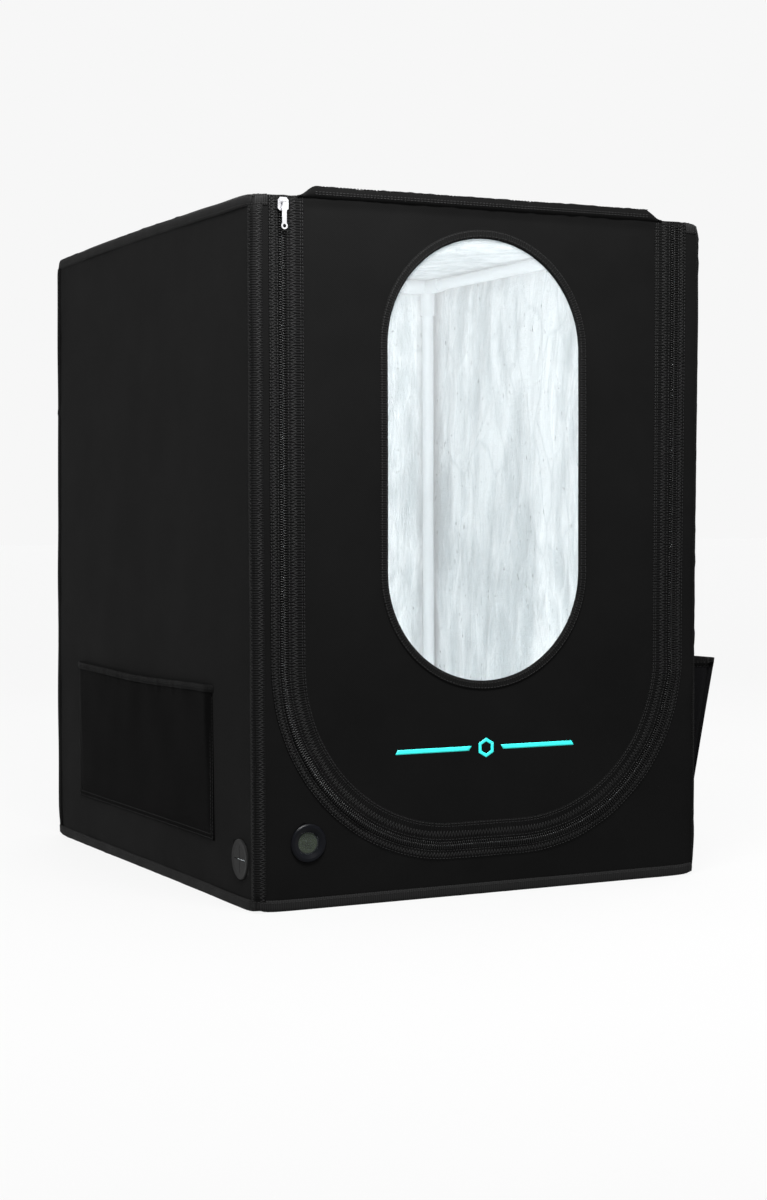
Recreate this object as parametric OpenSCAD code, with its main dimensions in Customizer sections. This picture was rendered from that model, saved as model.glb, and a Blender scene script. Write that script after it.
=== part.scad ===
// Soft-sided enclosure tent for a desktop 3D printer.
//
// A cage of twelve steel poles and eight plastic corner connectors carries a black woven
// cover that is lined with foil. The front opens through a U-shaped zipper: the door hangs
// from the front edge of the roof and flips up over it. The door has a clear window, the
// front a round thermometer, the left side a cable grommet and a flat pocket, and the right
// side a gusseted tool bag with five small pockets.
//
// Frame: +X to the right as seen from the front, +Y to the rear, +Z up. The origin is on the
// floor, under the middle of the cover. Millimetres.

/* [Cover] */
// Outside width of the cover
cover_w = 550; // [540:2:600]
// Outside depth of the cover
cover_d = 650; // [600:2:700]
// Outside height of the cover
cover_h = 750; // [744:2:800]
// Thickness of the woven cloth
cloth = 1.2; // [1:0.1:1.4]
// Thickness of the foil lining
foil = 0.6; // [0.4:0.1:0.8]
// Thickness of the binding tape
tape = 1.2; // [0.8:0.1:1.4]
// Width of the binding tape on each face of an edge
tape_w = 12; // [9:0.5:13]

/* [Frame] */
// Outside diameter of the steel poles
pole_d = 16; // [14:0.5:16]
// Wall thickness of the poles
pole_wall = 0.7; // [0.5:0.1:1.5]
// Reach of a connector's socket from the middle of its hub
socket_reach = 40; // [34:1:46]

/* [Door] */
// Half width of the door, to the middle of the zipper
door_half_w = 242; // [236:1:242]
// Radius of the door's lower corners, to the middle of the zipper
door_corner_r = 200; // [150:5:220]
// Height of the middle of the zipper above the floor, under the door
door_sill = 56; // [50:1:64]
// Half width of the clear window
window_half_w = 120; // [100:1:125]
// Height of the window's lowest point
window_low = 234; // [220:1:260]
// Height of the window's highest point
window_high = 718; // [690:1:720]
// Width of the tape around the window
window_tape_w = 9; // [7:0.5:11]

/* [Zipper] */
// Width of one row of zipper teeth
teeth_w = 3.3; // [3:0.1:3.5]
// Thickness of the zipper teeth
teeth_t = 2.8; // [2.4:0.1:3]
// Distance from the middle of the zipper to the outer edge of the door's zipper tape
door_tape_reach = 25; // [20:0.5:28]
// Distance from the middle of the zipper to the outer edge of the cover's zipper tape
cover_tape_reach = 15; // [12:0.5:16]
// Length of the pull from its pin to the middle of its ring
pull_length = 26; // [20:1:30]

/* [Meter] */
// Diameter of the round thermometer's bezel
meter_d = 40.4; // [40:0.1:42]
// Distance of the thermometer left of the middle
meter_left = 215; // [205:1:220]
// Height of the thermometer's centre
meter_up = 70.6; // [68:0.2:75]

/* [Grommet] */
// Diameter of the cable grommet's flange
grommet_d = 43; // [40:0.5:46]
// Distance of the grommet's centre behind the front face
grommet_back = 41.5; // [40:0.5:60]
// Height of the grommet's centre
grommet_up = 52; // [50:1:56]

/* [Side pocket] */
// Distance of the flat pocket's front end behind the front face
side_pocket_back = 114; // [100:1:130]
// Length of the flat pocket
side_pocket_w = 446; // [380:2:450]
// Height of the flat pocket's bottom
side_pocket_low = 62; // [50:1:80]
// Height of the flat pocket's mouth
side_pocket_high = 232; // [200:1:250]
// Inside depth of the flat pocket
side_pocket_depth = 7.6; // [6:0.2:10]

/* [Tool bag] */
// Distance of the tool bag's front end behind the front face
bag_back = 45; // [40:1:80]
// Length of the tool bag
bag_w = 446; // [420:2:450]
// Height of the tool bag's bottom
bag_low = 66; // [60:1:80]
// Height of the tool bag's mouth
bag_high = 246; // [230:1:260]
// Depth of the tool bag at its bottom
bag_foot = 26; // [22:1:30]
// Depth of the tool bag at its mouth
bag_mouth = 62; // [50:1:66]
// Number of small pockets on the tool bag
small_pockets = 5; // [3:1:5]
// Depth of a small pocket
small_pocket_depth = 18; // [14:1:20]
// Height of a small pocket
small_pocket_h = 110; // [90:1:120]

/* [Hidden] */
$fn = 96;

half_w = cover_w / 2;
half_d = cover_d / 2;
skin = cloth + foil;          // cloth and lining together
binding_drop = tape_w;        // how far a binding reaches down or along a wall

// Frame
frame_inset = 12.6;           // from the cover's outer face to a pole's axis
pole_r = pole_d / 2;
socket_r = pole_r + 2;
socket_bore_r = pole_r + 0.05;
hub_r = socket_r + 0.6;
pole_seat = 12.4;             // from the hub's centre to a pole's end
cage = [half_w - frame_inset, half_d - frame_inset, cover_h / 2 - frame_inset];
cage_mid = [0, 0, cover_h / 2];

// Door and zipper, as distances from the middle line of the teeth, positive outwards
row_gap = 1;                  // from the middle line to a row of teeth
panel_gap = 4.5;              // from the middle line to the edge of a cloth panel
tape_start = row_gap + teeth_w;
zip_tape = 0.8;               // thickness of the zipper's own tape
door_top = cover_h - skin - 0.4;
film_overlap = 11.5;          // how far the window film reaches behind the door
film = 0.5;
lining_gap = 12;              // how far the door's lining stays outside the window
lining_step = 6;              // from the zipper's middle line to the door lining's edge
welt_half_w = 221;            // the raised seam that the door hangs from
welt_h = 13.5;
welt_r = 1.5;                 // its corded top edge, which is the door's hinge line
welt_slope = 10;
emblem_t = 0.25;
pocket_lift = 0.3;           // from the bag's face to a small pocket
pocket_taper = 10;           // a small pocket's front is narrower than its back
emblem_up = 161;              // height of the printed mark's middle
emblem_bar = [84, 5];
emblem_hex_r = 12.5;
emblem_hex_line = 4.5;       // width of the hexagon's outline
emblem_bar_from = 28;        // from the mark's middle to a bar

// Slider and pull: heights are above the slider's lower end
slider_low = 733;
slider_h = 14;
slider_half_w = 6;
slider_plate = 1.5;
slider_lift = 0.4;            // play between the slider and the teeth
flange_t = 1.1;
pull_pin_up = 10;
pull_pin_out = 7.2;           // from the cloth's outer face to the pin's axis
pull_pin_r = 0.7;
pull_bore_r = 0.78;
pull_eye_r = 1.7;
pull_t = 1.4;
ear_gap = 2;                  // from the middle to an ear
ear_t = 1.2;

// Meter: r and h are measured from its axis and outwards from the cloth
meter_hole_r = 18.3;
meter_case_r = 18;
meter_case_depth = 12;
meter_wall = 1.4;
meter_fit_r = meter_case_r - meter_wall - 0.05;
lid_r = 12.9;
lid_bore_r = 13;
battery_r = 5.8;
battery_h = 5.4;

// Bags
hem = 11;                     // height of a pocket's hem
hem_t = 1.2;
bag_lean = atan2(bag_mouth - bag_foot, bag_high - bag_low);
bag_face = (bag_high - bag_low) / cos(bag_lean);
small_pocket_first = 22;      // from the bag's front end to the first small pocket
small_pocket_pitch = (bag_w - small_pocket_first - 4) / small_pockets;
small_pocket_w = small_pocket_pitch - 6;
scallop_r = 150;              // the small pockets' mouths sag along this radius
scallop_sag = 4;

function word(s, low, high) = s < 0 ? low : high;
function level(s) = word(s, "bottom", "top");
function end(s) = word(s, "front", "rear");
function side(s) = word(s, "left", "right");

// Each pole: its name, its direction, and the signs of its place in the cage
POLES = concat(
    [for (v = [-1, 1], f = [-1, 1]) [str("pole_", level(v), "_", end(f)), "x", [0, f, v]]],
    [for (v = [-1, 1], s = [-1, 1]) [str("pole_", level(v), "_", side(s)), "y", [s, 0, v]]],
    [for (f = [-1, 1], s = [-1, 1]) [str("pole_upright_", end(f), "_", side(s)), "z", [s, f, 0]]]
);
// Each corner connector: its name and the signs of its corner
CONNECTORS = [for (v = [-1, 1], f = [-1, 1], s = [-1, 1])
    [str("connector_", level(v), "_", end(f), "_", side(s)), [s, f, v]]];

function place(signs) = [for (i = [0:2]) cage_mid[i] + signs[i] * cage[i]];

// A box between two corners
module span(low, high) {
    translate(low) cube(high - low);
}

// Stands a flat shape up in the front wall: 2D x and y become x and z, and it fills the wall
// from out to in, which are distances outside the cover's front face
module in_front(out, inner) {
    translate([0, -half_d - inner, 0]) rotate([90, 0, 0]) linear_extrude(out - inner) children();
}

// The door's U shape, grown by a distance from the middle of the zipper, up to a height
module door_shape(grow, top) {
    w = door_half_w + grow;
    r = door_corner_r + grow;
    low = door_sill - grow;
    translate([-w, low + r]) square([2 * w, top - low - r]);
    translate([-(w - r), low]) square([2 * (w - r), r + 1]);
    for (s = [-1, 1]) translate([s * (w - r), low + r]) circle(r);
}

// The window's shape with round ends, grown by a distance
module window_shape(grow) {
    r = window_half_w + grow;
    low = window_low + window_half_w;
    high = window_high - window_half_w;
    translate([-r, low]) square([2 * r, high - low]);
    for (z = [low, high]) translate([0, z]) circle(r);
}

// Cage of poles and connectors ---------------------------------------------------------------

// Turns +Z to the direction of a named axis
module along(axis) {
    rotate(axis == "x" ? [0, 90, 0] : axis == "y" ? [-90, 0, 0] : [0, 0, 0]) children();
}

module pole(p) {
    i = search(p[1], "xyz")[0];
    length = 2 * (cage[i] - pole_seat);
    color("gray")
    translate(place(p[2])) along(p[1])
    difference() {
        cylinder(r = pole_r, h = length, center = true);
        cylinder(r = pole_r - pole_wall, h = length + 2, center = true);
    }
}

module connector(c) {
    s = c[1];
    turns = [s[0] > 0 ? [0, -90, 0] : [0, 90, 0],
             s[1] > 0 ? [90, 0, 0] : [-90, 0, 0],
             s[2] > 0 ? [180, 0, 0] : [0, 0, 0]];
    color("dimgray")
    translate(place(s))
    difference() {
        union() {
            sphere(r = hub_r);
            for (t = turns) rotate(t) cylinder(r = socket_r, h = socket_reach);
        }
        for (t = turns) rotate(t) translate([0, 0, pole_seat])
            cylinder(r = socket_bore_r, h = socket_reach);
    }
}

// Cloth panels -------------------------------------------------------------------------------

module floor_panel() {
    color("#1c1c1e") span([-half_w, -half_d, 0], [half_w, half_d, cloth]);
}

module roof_panel() {
    color("#1c1c1e") span([-half_w, -half_d, cover_h - cloth], [half_w, half_d, cover_h]);
}

// Takes the grommet's hole out of a layer of the left wall
module grommet_hole() {
    difference() {
        children();
        translate([-half_w - 1, -half_d + grommet_back, grommet_up]) rotate([0, 90, 0])
            cylinder(d = grommet_d - 7.8, h = skin + 2);
    }
}

module left_panel() {
    color("#1c1c1e") grommet_hole()
        span([-half_w, -half_d, cloth], [-half_w + cloth, half_d, cover_h - cloth]);
}

module right_panel() {
    color("#1c1c1e")
    span([half_w - cloth, -half_d, cloth], [half_w, half_d, cover_h - cloth]);
}

module rear_panel() {
    color("#1c1c1e")
    span([-half_w + cloth, half_d - cloth, cloth], [half_w - cloth, half_d, cover_h - cloth]);
}

// The wall around the door, from an inset at its rim: out and inner as in in_front()
module surround(inset, out, inner) {
    in_front(out, inner) difference() {
        translate([-half_w + inset, inset]) square([cover_w - 2 * inset, cover_h - 2 * inset]);
        door_shape(panel_gap, cover_h + 1);
        translate([-meter_left, meter_up]) circle(meter_hole_r);
    }
}

module front_surround() {
    color("#1c1c1e") surround(cloth, 0, -cloth);
}

// Foil lining --------------------------------------------------------------------------------

module floor_lining() {
    color("silver")
    span([-half_w + cloth, -half_d + cloth, cloth], [half_w - cloth, half_d - cloth, skin]);
}

module roof_lining() {
    color("silver")
    span([-half_w + cloth, -half_d + cloth, cover_h - skin],
         [half_w - cloth, half_d - cloth, cover_h - cloth]);
}

module left_lining() {
    color("silver") grommet_hole()
        span([-half_w + cloth, -half_d + skin, skin], [-half_w + skin, half_d - skin, cover_h - skin]);
}

module right_lining() {
    color("silver")
    span([half_w - skin, -half_d + skin, skin], [half_w - cloth, half_d - skin, cover_h - skin]);
}

module rear_lining() {
    color("silver")
    span([-half_w + cloth, half_d - skin, skin], [half_w - cloth, half_d - cloth, cover_h - skin]);
}

module front_lining() {
    color("silver") surround(skin, -cloth, -skin);
}

// Binding tape along the edges ---------------------------------------------------------------

// A band around the foot of the cover, just clear of the floor
module bottom_binding() {
    foot_t = tape * 1.5;
    foot_gap = 0.5;
    color("#2a2a2d") translate([0, 0, foot_gap]) linear_extrude(binding_drop - foot_gap)
        difference() {
            square([cover_w + 2 * foot_t, cover_d + 2 * foot_t], center = true);
            square([cover_w, cover_d], center = true);
        }
}

// Strips over the roof's left, right and rear edges, and beside the door at the front
module top_binding() {
    low = cover_h - binding_drop;
    high = cover_h + tape;
    beside_door = door_half_w + cover_tape_reach + 1;
    color("#2a2a2d") {
        for (s = [0, 1]) mirror([s, 0, 0]) {
            span([-half_w - tape, -half_d, low], [-half_w, half_d, high]);
            span([-half_w, -half_d, cover_h], [-half_w + tape_w, half_d, high]);
            span([-half_w - tape, -half_d - tape, low], [-beside_door, -half_d, high]);
        }
        span([-half_w - tape, half_d, low], [half_w + tape, half_d + tape, high]);
        span([-half_w + tape_w, half_d - tape_w, cover_h], [half_w - tape_w, half_d, high]);
    }
}

// An upright strip folded around the corner at -X and -Y, with its width on the front face
module upright_binding(front_w) {
    low = binding_drop;
    high = cover_h - binding_drop;
    span([-half_w - tape, -half_d - tape, low], [-half_w + front_w, -half_d, high]);
    span([-half_w - tape, -half_d, low], [-half_w, -half_d + tape_w, high]);
}

module corner_binding() {
    color("#2a2a2d") {
        upright_binding(tape_w - 1);
        mirror([1, 0, 0]) upright_binding(3);
        for (s = [0, 1]) mirror([s, 0, 0]) mirror([0, 1, 0]) upright_binding(tape_w - 1);
    }
}

// Door ---------------------------------------------------------------------------------------

module door_panel() {
    color("#1c1c1e") in_front(0, -cloth) difference() {
        door_shape(-panel_gap, door_top);
        window_shape(0);
    }
}

module door_lining() {
    color("silver") in_front(-cloth, -skin) difference() {
        door_shape(-lining_step, door_top);
        window_shape(lining_gap);
    }
}

// The raised seam on the roof's front edge that the door hangs from
module door_top_welt() {
    color("#242427") intersection() {
        in_front(2 * welt_r, 0)
            polygon([[-welt_half_w, cover_h], [-welt_half_w + welt_slope, cover_h + welt_h],
                     [welt_half_w - welt_slope, cover_h + welt_h], [welt_half_w, cover_h]]);
        union() {
            span([-cover_w, -half_d - 2 * welt_r, cover_h],
                 [cover_w, -half_d, cover_h + welt_h - welt_r]);
            translate([0, -half_d - welt_r, cover_h + welt_h - welt_r]) rotate([0, 90, 0])
                cylinder(r = welt_r, h = cover_w, center = true);
        }
    }
}

module window_film() {
    color("lightblue", 0.35) in_front(-cloth, -cloth - film) window_shape(film_overlap);
}

module window_binding() {
    color("#2a2a2d") in_front(tape, 0) difference() {
        window_shape(window_tape_w);
        window_shape(0);
    }
}

// A plain printed mark: a hexagon between two bars
module door_emblem() {
    color("#35d6cf") in_front(emblem_t, 0) translate([0, emblem_up]) {
        difference() {
            circle(emblem_hex_r, $fn = 6);
            circle(emblem_hex_r - emblem_hex_line, $fn = 6);
        }
        for (s = [0, 1]) mirror([s, 0])
            translate([emblem_bar_from, -emblem_bar[1] / 2]) square(emblem_bar);
    }
}

// Zipper -------------------------------------------------------------------------------------

// A band along the zipper between two distances from its middle line
module zip_band(from, to) {
    difference() {
        door_shape(to, door_top);
        door_shape(from, door_top + 1);
    }
}

module door_zipper_half() {
    color("#141416") {
        in_front(zip_tape, 0) zip_band(-door_tape_reach, -tape_start);
        in_front(teeth_t, 0) zip_band(-tape_start, -row_gap);
    }
}

module cover_zipper_half() {
    color("#141416") {
        in_front(zip_tape, 0) zip_band(tape_start, cover_tape_reach);
        in_front(teeth_t, 0) zip_band(row_gap, tape_start);
    }
}

// Puts a shape at the slider's place on the left run of the zipper: x across the teeth,
// y outwards when negative, z up from the slider's lower end
module at_slider() {
    translate([-door_half_w, -half_d, slider_low]) children();
}

// The slider parks at the zipper's top left end. Its back plate spans the door's teeth only
module zipper_slider() {
    plate_in = teeth_t + slider_lift;
    plate_out = plate_in + slider_plate;
    flange_in = zip_tape + slider_lift;
    post = [1.2, 3];
    back_out = 0.3;
    back_t = 1;
    color("silver") at_slider() {
        translate([0, -plate_in, 0]) rotate([90, 0, 0]) linear_extrude(slider_plate)
            polygon([for (p = [[1, 2], [0.6, 0], [-0.6, 0], [-1, 2], [-1, 11], [-0.6, 14],
                               [0.6, 14], [1, 11]]) [p[0] * slider_half_w, p[1]]]);
        for (s = [0, 1]) mirror([s, 0, 0])
            span([slider_half_w - flange_t, -plate_in, 2], [slider_half_w, -flange_in, 11]);
        span([-post[0] / 2, -plate_in, 9.5], [post[0] / 2, back_out + back_t, 9.5 + post[1]]);
        span([-post[0] / 2, back_out, 1], [tape_start - 0.4, back_out + back_t, slider_h - 1]);
        for (s = [0, 1]) mirror([s, 0, 0])
            span([ear_gap, -pull_pin_out - 1.4, pull_pin_up - 1.4],
                 [ear_gap + ear_t, -plate_out, pull_pin_up + 1.4]);
        translate([0, -pull_pin_out, pull_pin_up]) rotate([0, 90, 0])
            cylinder(r = pull_pin_r, h = 2 * (ear_gap + ear_t) - 0.4, center = true);
    }
}

module zipper_pull() {
    eye_half = ear_gap - 0.2;
    neck = [3.2, 6];
    blade_w = 5;
    ring_r = 3.6;
    ring_hole_r = 1.9;
    color("silver") at_slider() translate([0, -pull_pin_out, pull_pin_up]) difference() {
        union() {
            rotate([0, 90, 0]) cylinder(r = pull_eye_r, h = 2 * eye_half, center = true);
            rotate([90, 0, 0]) linear_extrude(pull_t, center = true) difference() {
                union() {
                    translate([-neck[0] / 2, -neck[1]]) square(neck);
                    translate([-blade_w / 2, -pull_length])
                        square([blade_w, pull_length - neck[1] + 1]);
                    translate([0, -pull_length]) circle(ring_r);
                }
                translate([0, -pull_length]) circle(ring_hole_r);
            }
        }
        rotate([0, 90, 0]) cylinder(r = pull_bore_r, h = 10, center = true);
    }
}

// Thermometer --------------------------------------------------------------------------------

// Puts a shape at the meter's place, with +Z pointing out of the cover's front
module at_meter() {
    translate([-meter_left, -half_d, meter_up]) rotate([90, 0, 0]) children();
}

// A disc between two heights outside the cloth
module meter_disc(r, low, high) {
    translate([0, 0, low]) cylinder(r = r, h = high - low);
}

module meter_bezel() {
    rim = meter_d / 2;
    color("#15171c") at_meter() rotate_extrude()
        polygon([[12.6, 0.05], [12.6, 0.7], [16.6, 2.7], [rim - 1.2, 2.6], [rim, 1.5], [rim, 0.05]]);
}

module meter_case() {
    inner = meter_case_r - meter_wall;
    color("#1d1f24") at_meter() rotate_extrude()
        polygon([[inner, 0], [meter_case_r, 0], [meter_case_r, -meter_case_depth],
                 [lid_bore_r, -meter_case_depth], [lid_bore_r, -meter_case_depth + meter_wall],
                 [inner, -meter_case_depth + meter_wall]]);
}

module meter_lens() {
    color("white", 0.3) at_meter() meter_disc(meter_fit_r, -1.2, -0.1);
}

module meter_display() {
    color("#5c6656") at_meter() meter_disc(14, -3, -1.3);
}

module meter_board() {
    color("seagreen") at_meter() meter_disc(meter_fit_r, -4.2, -3.2);
}

module meter_batteries() {
    color("lightgray") at_meter()
        for (s = [-1, 1]) translate([s * (battery_r + 0.2), 0, 0])
            meter_disc(battery_r, -4.3 - battery_h, -4.3);
}

module meter_battery_cover() {
    slot = [16, 1.8, 1];
    color("#1d1f24") at_meter() difference() {
        meter_disc(lid_r, -meter_case_depth, -meter_case_depth + 2);
        translate([0, 0, -meter_case_depth]) cube([slot[0], slot[1], 2 * slot[2]], center = true);
    }
}

// Cable grommet ------------------------------------------------------------------------------

// One rubber moulding: a flanged ring clipped through the wall, with a cross-slit membrane
module cable_grommet() {
    r = grommet_d / 2;
    hole = r - 5.5;
    neck = r - 4.1;
    slit = [2 * hole - 3, 0.8];
    color("#3b3c3e")
    translate([-half_w, -half_d + grommet_back, grommet_up]) rotate([0, -90, 0])
    difference() {
        rotate_extrude()
            polygon([[0, 0.4], [hole, 0.4], [hole, -skin - 1.4], [r - 1.4, -skin - 1.4],
                     [r - 1.4, -skin - 0.1], [neck, -skin - 0.1], [neck, 0.05], [r, 0.05],
                     [r, 1.2], [r - 1, 2], [hole, 1.6], [0, 1.6]]);
        for (turn = [0, 90]) rotate([0, 0, turn])
            cube([slit[0], slit[1], 6], center = true);
    }
}

// Side pocket --------------------------------------------------------------------------------

// A shallow tray on the left wall that is open at the top
module side_pocket() {
    front = -half_d + side_pocket_back;
    rear = front + side_pocket_w;
    out = -half_w - side_pocket_depth - cloth;
    color("#1a1a1d") difference() {
        span([out, front, side_pocket_low], [-half_w, rear, side_pocket_high]);
        span([out + cloth, front + cloth, side_pocket_low + cloth],
             [-half_w + 1, rear - cloth, side_pocket_high + 1]);
    }
}

module side_pocket_hem() {
    front = -half_d + side_pocket_back;
    rear = front + side_pocket_w;
    in = -half_w - side_pocket_depth - cloth;
    color("#2a2a2d")
    span([in - hem_t, front - 2, side_pocket_high - hem], [in, rear + 2, side_pocket_high]);
}

// Tool bag -----------------------------------------------------------------------------------

// Extrudes a shape, drawn as x outwards from the right wall and y up, along part of the bag
module bag_slice(from, to) {
    translate([half_w, -half_d + bag_back + to, 0]) rotate([90, 0, 0])
        linear_extrude(to - from) children();
}

// The bag's section with its front moved outwards, up to a height
module bag_section(grow, low, high, wall) {
    foot = bag_foot + grow + (low - bag_low) * tan(bag_lean);
    mouth = bag_foot + grow + (high - bag_low) * tan(bag_lean);
    polygon([[wall, low], [foot, low], [mouth, high], [wall, high]]);
}

// A gusseted bag on the right wall that is open at the top
module tool_bag() {
    color("#1a1a1d") difference() {
        bag_slice(0, bag_w) bag_section(0, bag_low, bag_high, 0);
        bag_slice(cloth, bag_w - cloth)
            bag_section(-cloth / cos(bag_lean), bag_low + cloth, bag_high + 1, -1);
    }
}

// A band around the bag's mouth, on its front and both gussets
module tool_bag_hem() {
    color("#2a2a2d") difference() {
        bag_slice(-hem_t, bag_w + hem_t) bag_section(hem_t, bag_high - hem, bag_high, 0);
        bag_slice(0, bag_w) bag_section(0, bag_high - hem - 1, bag_high + 1, -1);
    }
}

// Puts a shape on the bag's sloping face: x outwards, y to the rear from the first pocket,
// z up the face
module on_bag_face() {
    translate([half_w + bag_foot, -half_d + bag_back + small_pocket_first, bag_low])
        rotate([0, bag_lean, 0]) children();
}

// Cuts the sagging mouth of a small pocket into a shape
module scallop() {
    difference() {
        children();
        translate([-1, small_pocket_w / 2, small_pocket_h - scallop_sag + scallop_r])
            rotate([0, 90, 0]) cylinder(r = scallop_r, h = small_pocket_depth + 8);
    }
}

// Five small pockets side by side, each open at the top and closed by the bag's face behind
module tool_pockets() {
    color("#1a1a1d") on_bag_face() for (i = [0 : small_pockets - 1])
        translate([pocket_lift, i * small_pocket_pitch, 2]) scallop() difference() {
            linear_extrude(small_pocket_h)
                polygon([[0, 0], [small_pocket_depth, pocket_taper],
                         [small_pocket_depth, small_pocket_w - pocket_taper], [0, small_pocket_w]]);
            translate([0, 0, cloth]) linear_extrude(small_pocket_h)
                polygon([[-1, cloth], [small_pocket_depth - cloth, pocket_taper + cloth * 0.6],
                         [small_pocket_depth - cloth, small_pocket_w - pocket_taper - cloth * 0.6],
                         [-1, small_pocket_w - cloth]]);
        }
}

// A flat strip of tape along the outside of each small pocket's mouth
module tool_pocket_hems() {
    drop = 9;
    color("#2a2a2d") on_bag_face() for (i = [0 : small_pockets - 1])
        translate([pocket_lift + small_pocket_depth + 0.05, i * small_pocket_pitch, 2]) scallop()
            translate([0, pocket_taper, small_pocket_h - scallop_sag - drop])
                cube([0.8, small_pocket_w - 2 * pocket_taper, drop + scallop_sag]);
}

for (p = POLES) pole(p);
for (c = CONNECTORS) connector(c);
floor_panel();
roof_panel();
left_panel();
right_panel();
rear_panel();
front_surround();
floor_lining();
roof_lining();
left_lining();
right_lining();
rear_lining();
front_lining();
bottom_binding();
top_binding();
corner_binding();
door_panel();
door_lining();
door_top_welt();
window_film();
window_binding();
door_emblem();
door_zipper_half();
cover_zipper_half();
zipper_slider();
zipper_pull();
meter_bezel();
meter_case();
meter_lens();
meter_display();
meter_board();
meter_batteries();
meter_battery_cover();
cable_grommet();
side_pocket();
side_pocket_hem();
tool_bag();
tool_bag_hem();
tool_pockets();
tool_pocket_hems();
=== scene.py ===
"""Looks of the printer enclosure tent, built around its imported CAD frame. Metres, +Z up."""
import math

import bmesh
import bpy
import numpy as np
from mathutils import Matrix, Vector


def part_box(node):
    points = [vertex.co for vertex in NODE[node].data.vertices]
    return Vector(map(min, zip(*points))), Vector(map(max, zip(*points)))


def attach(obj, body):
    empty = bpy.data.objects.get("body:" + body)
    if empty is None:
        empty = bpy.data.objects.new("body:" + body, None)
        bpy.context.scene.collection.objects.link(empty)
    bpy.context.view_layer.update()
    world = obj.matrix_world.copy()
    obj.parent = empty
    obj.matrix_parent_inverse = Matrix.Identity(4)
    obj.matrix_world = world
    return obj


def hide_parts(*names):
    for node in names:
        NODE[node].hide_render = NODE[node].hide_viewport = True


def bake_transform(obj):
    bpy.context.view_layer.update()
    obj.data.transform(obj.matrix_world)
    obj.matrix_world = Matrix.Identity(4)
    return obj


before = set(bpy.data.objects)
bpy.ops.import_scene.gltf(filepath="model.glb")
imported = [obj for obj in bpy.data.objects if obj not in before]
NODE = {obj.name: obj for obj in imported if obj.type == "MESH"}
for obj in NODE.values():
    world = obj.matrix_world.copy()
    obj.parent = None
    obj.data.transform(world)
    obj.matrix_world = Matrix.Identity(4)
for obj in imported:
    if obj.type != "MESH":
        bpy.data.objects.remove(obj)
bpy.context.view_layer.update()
MM = 0.001

# Driving sizes, from the frame ---------------------------------------------------------------

LEFT_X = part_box("left_panel")[0].x
RIGHT_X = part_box("right_panel")[1].x
FRONT_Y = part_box("left_panel")[0].y
REAR_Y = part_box("rear_panel")[1].y
TOP_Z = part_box("roof_panel")[1].z
CLOTH = 1.2 * MM
SKIN = 1.8 * MM                       # cloth and lining together
ROW_GAP = 1.0 * MM                    # from the zipper's middle line to a row of teeth
ZIP_HALF_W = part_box("door_zipper_half")[1].x + ROW_GAP
ZIP_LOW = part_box("door_zipper_half")[0].z - ROW_GAP
ZIP_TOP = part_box("door_zipper_half")[1].z
ZIP_CORNER_R = 200 * MM
BEND_X = ZIP_HALF_W - ZIP_CORNER_R    # centre of the zipper's right-hand bend
BEND_Z = ZIP_LOW + ZIP_CORNER_R
PANEL_GAP = 4.5 * MM                  # from the zipper's middle line to the edge of a panel
DOOR_TAPE = 25 * MM                   # reach of the zipper tape on the door
COVER_TAPE = 15 * MM                  # reach of the zipper tape on the cover
WINDOW_TAPE = 9 * MM
WINDOW_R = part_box("window_binding")[1].x - WINDOW_TAPE
WINDOW_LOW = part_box("window_binding")[0].z + WINDOW_TAPE
WINDOW_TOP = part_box("window_binding")[1].z - WINDOW_TAPE
WINDOW_UNDER = 11 * MM                # how far the film reaches under its tape
TAPE_W = 12 * MM                      # one leaf of the tape over an edge
RIGHT_LEAN = 5.0 * MM                 # how far the sewn cover is from a plain box
LEFT_STAND = 4.5 * MM
ROOF_ARCH = 2.4 * MM
CORNER_REACH = 9 * MM
CORNER_PULL = 1.6 * MM
CORNER_DROP = 3.5 * MM
FOIL_T = 0.4 * MM
FOIL_RISE = 0.3 * MM                  # most that a lining follows its cloth outwards
LINING_GAP = 0.1 * MM
HEM_W = 12 * MM
METER_HOLE_R = 18.3 * MM
GROMMET_HOLE_R = 17.6 * MM


# Geometry helpers ----------------------------------------------------------------------------

class Wall:
    """One face of the cover: a and b run along it in row coordinates, out is away from it."""

    def __init__(self, base, a, b, out):
        self.base, self.a, self.b, self.out = (np.array(v, float) for v in (base, a, b, out))

    def at(self, a, b, out=0.0):
        a, b, out = np.broadcast_arrays(np.asarray(a, float), b, out)
        return (self.base + a[..., None] * self.a + b[..., None] * self.b
                + out[..., None] * self.out)


FRONT = Wall((0, FRONT_Y, 0), (1, 0, 0), (0, 0, 1), (0, -1, 0))
REAR = Wall((0, REAR_Y, 0), (1, 0, 0), (0, 0, 1), (0, 1, 0))
LEFT = Wall((LEFT_X, 0, 0), (0, 1, 0), (0, 0, 1), (-1, 0, 0))
RIGHT = Wall((RIGHT_X, 0, 0), (0, 1, 0), (0, 0, 1), (1, 0, 0))
ROOF = Wall((0, 0, TOP_Z), (1, 0, 0), (0, 1, 0), (0, 0, 1))
FLOOR = Wall((0, 0, 0), (1, 0, 0), (0, 1, 0), (0, 0, -1))


def smooth(low, high, x):
    """0 below low, 1 above high, and a smooth step between them."""
    t = np.clip((np.asarray(x, float) - low) / (high - low), 0, 1)
    return t * t * (3 - 2 * t)


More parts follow.
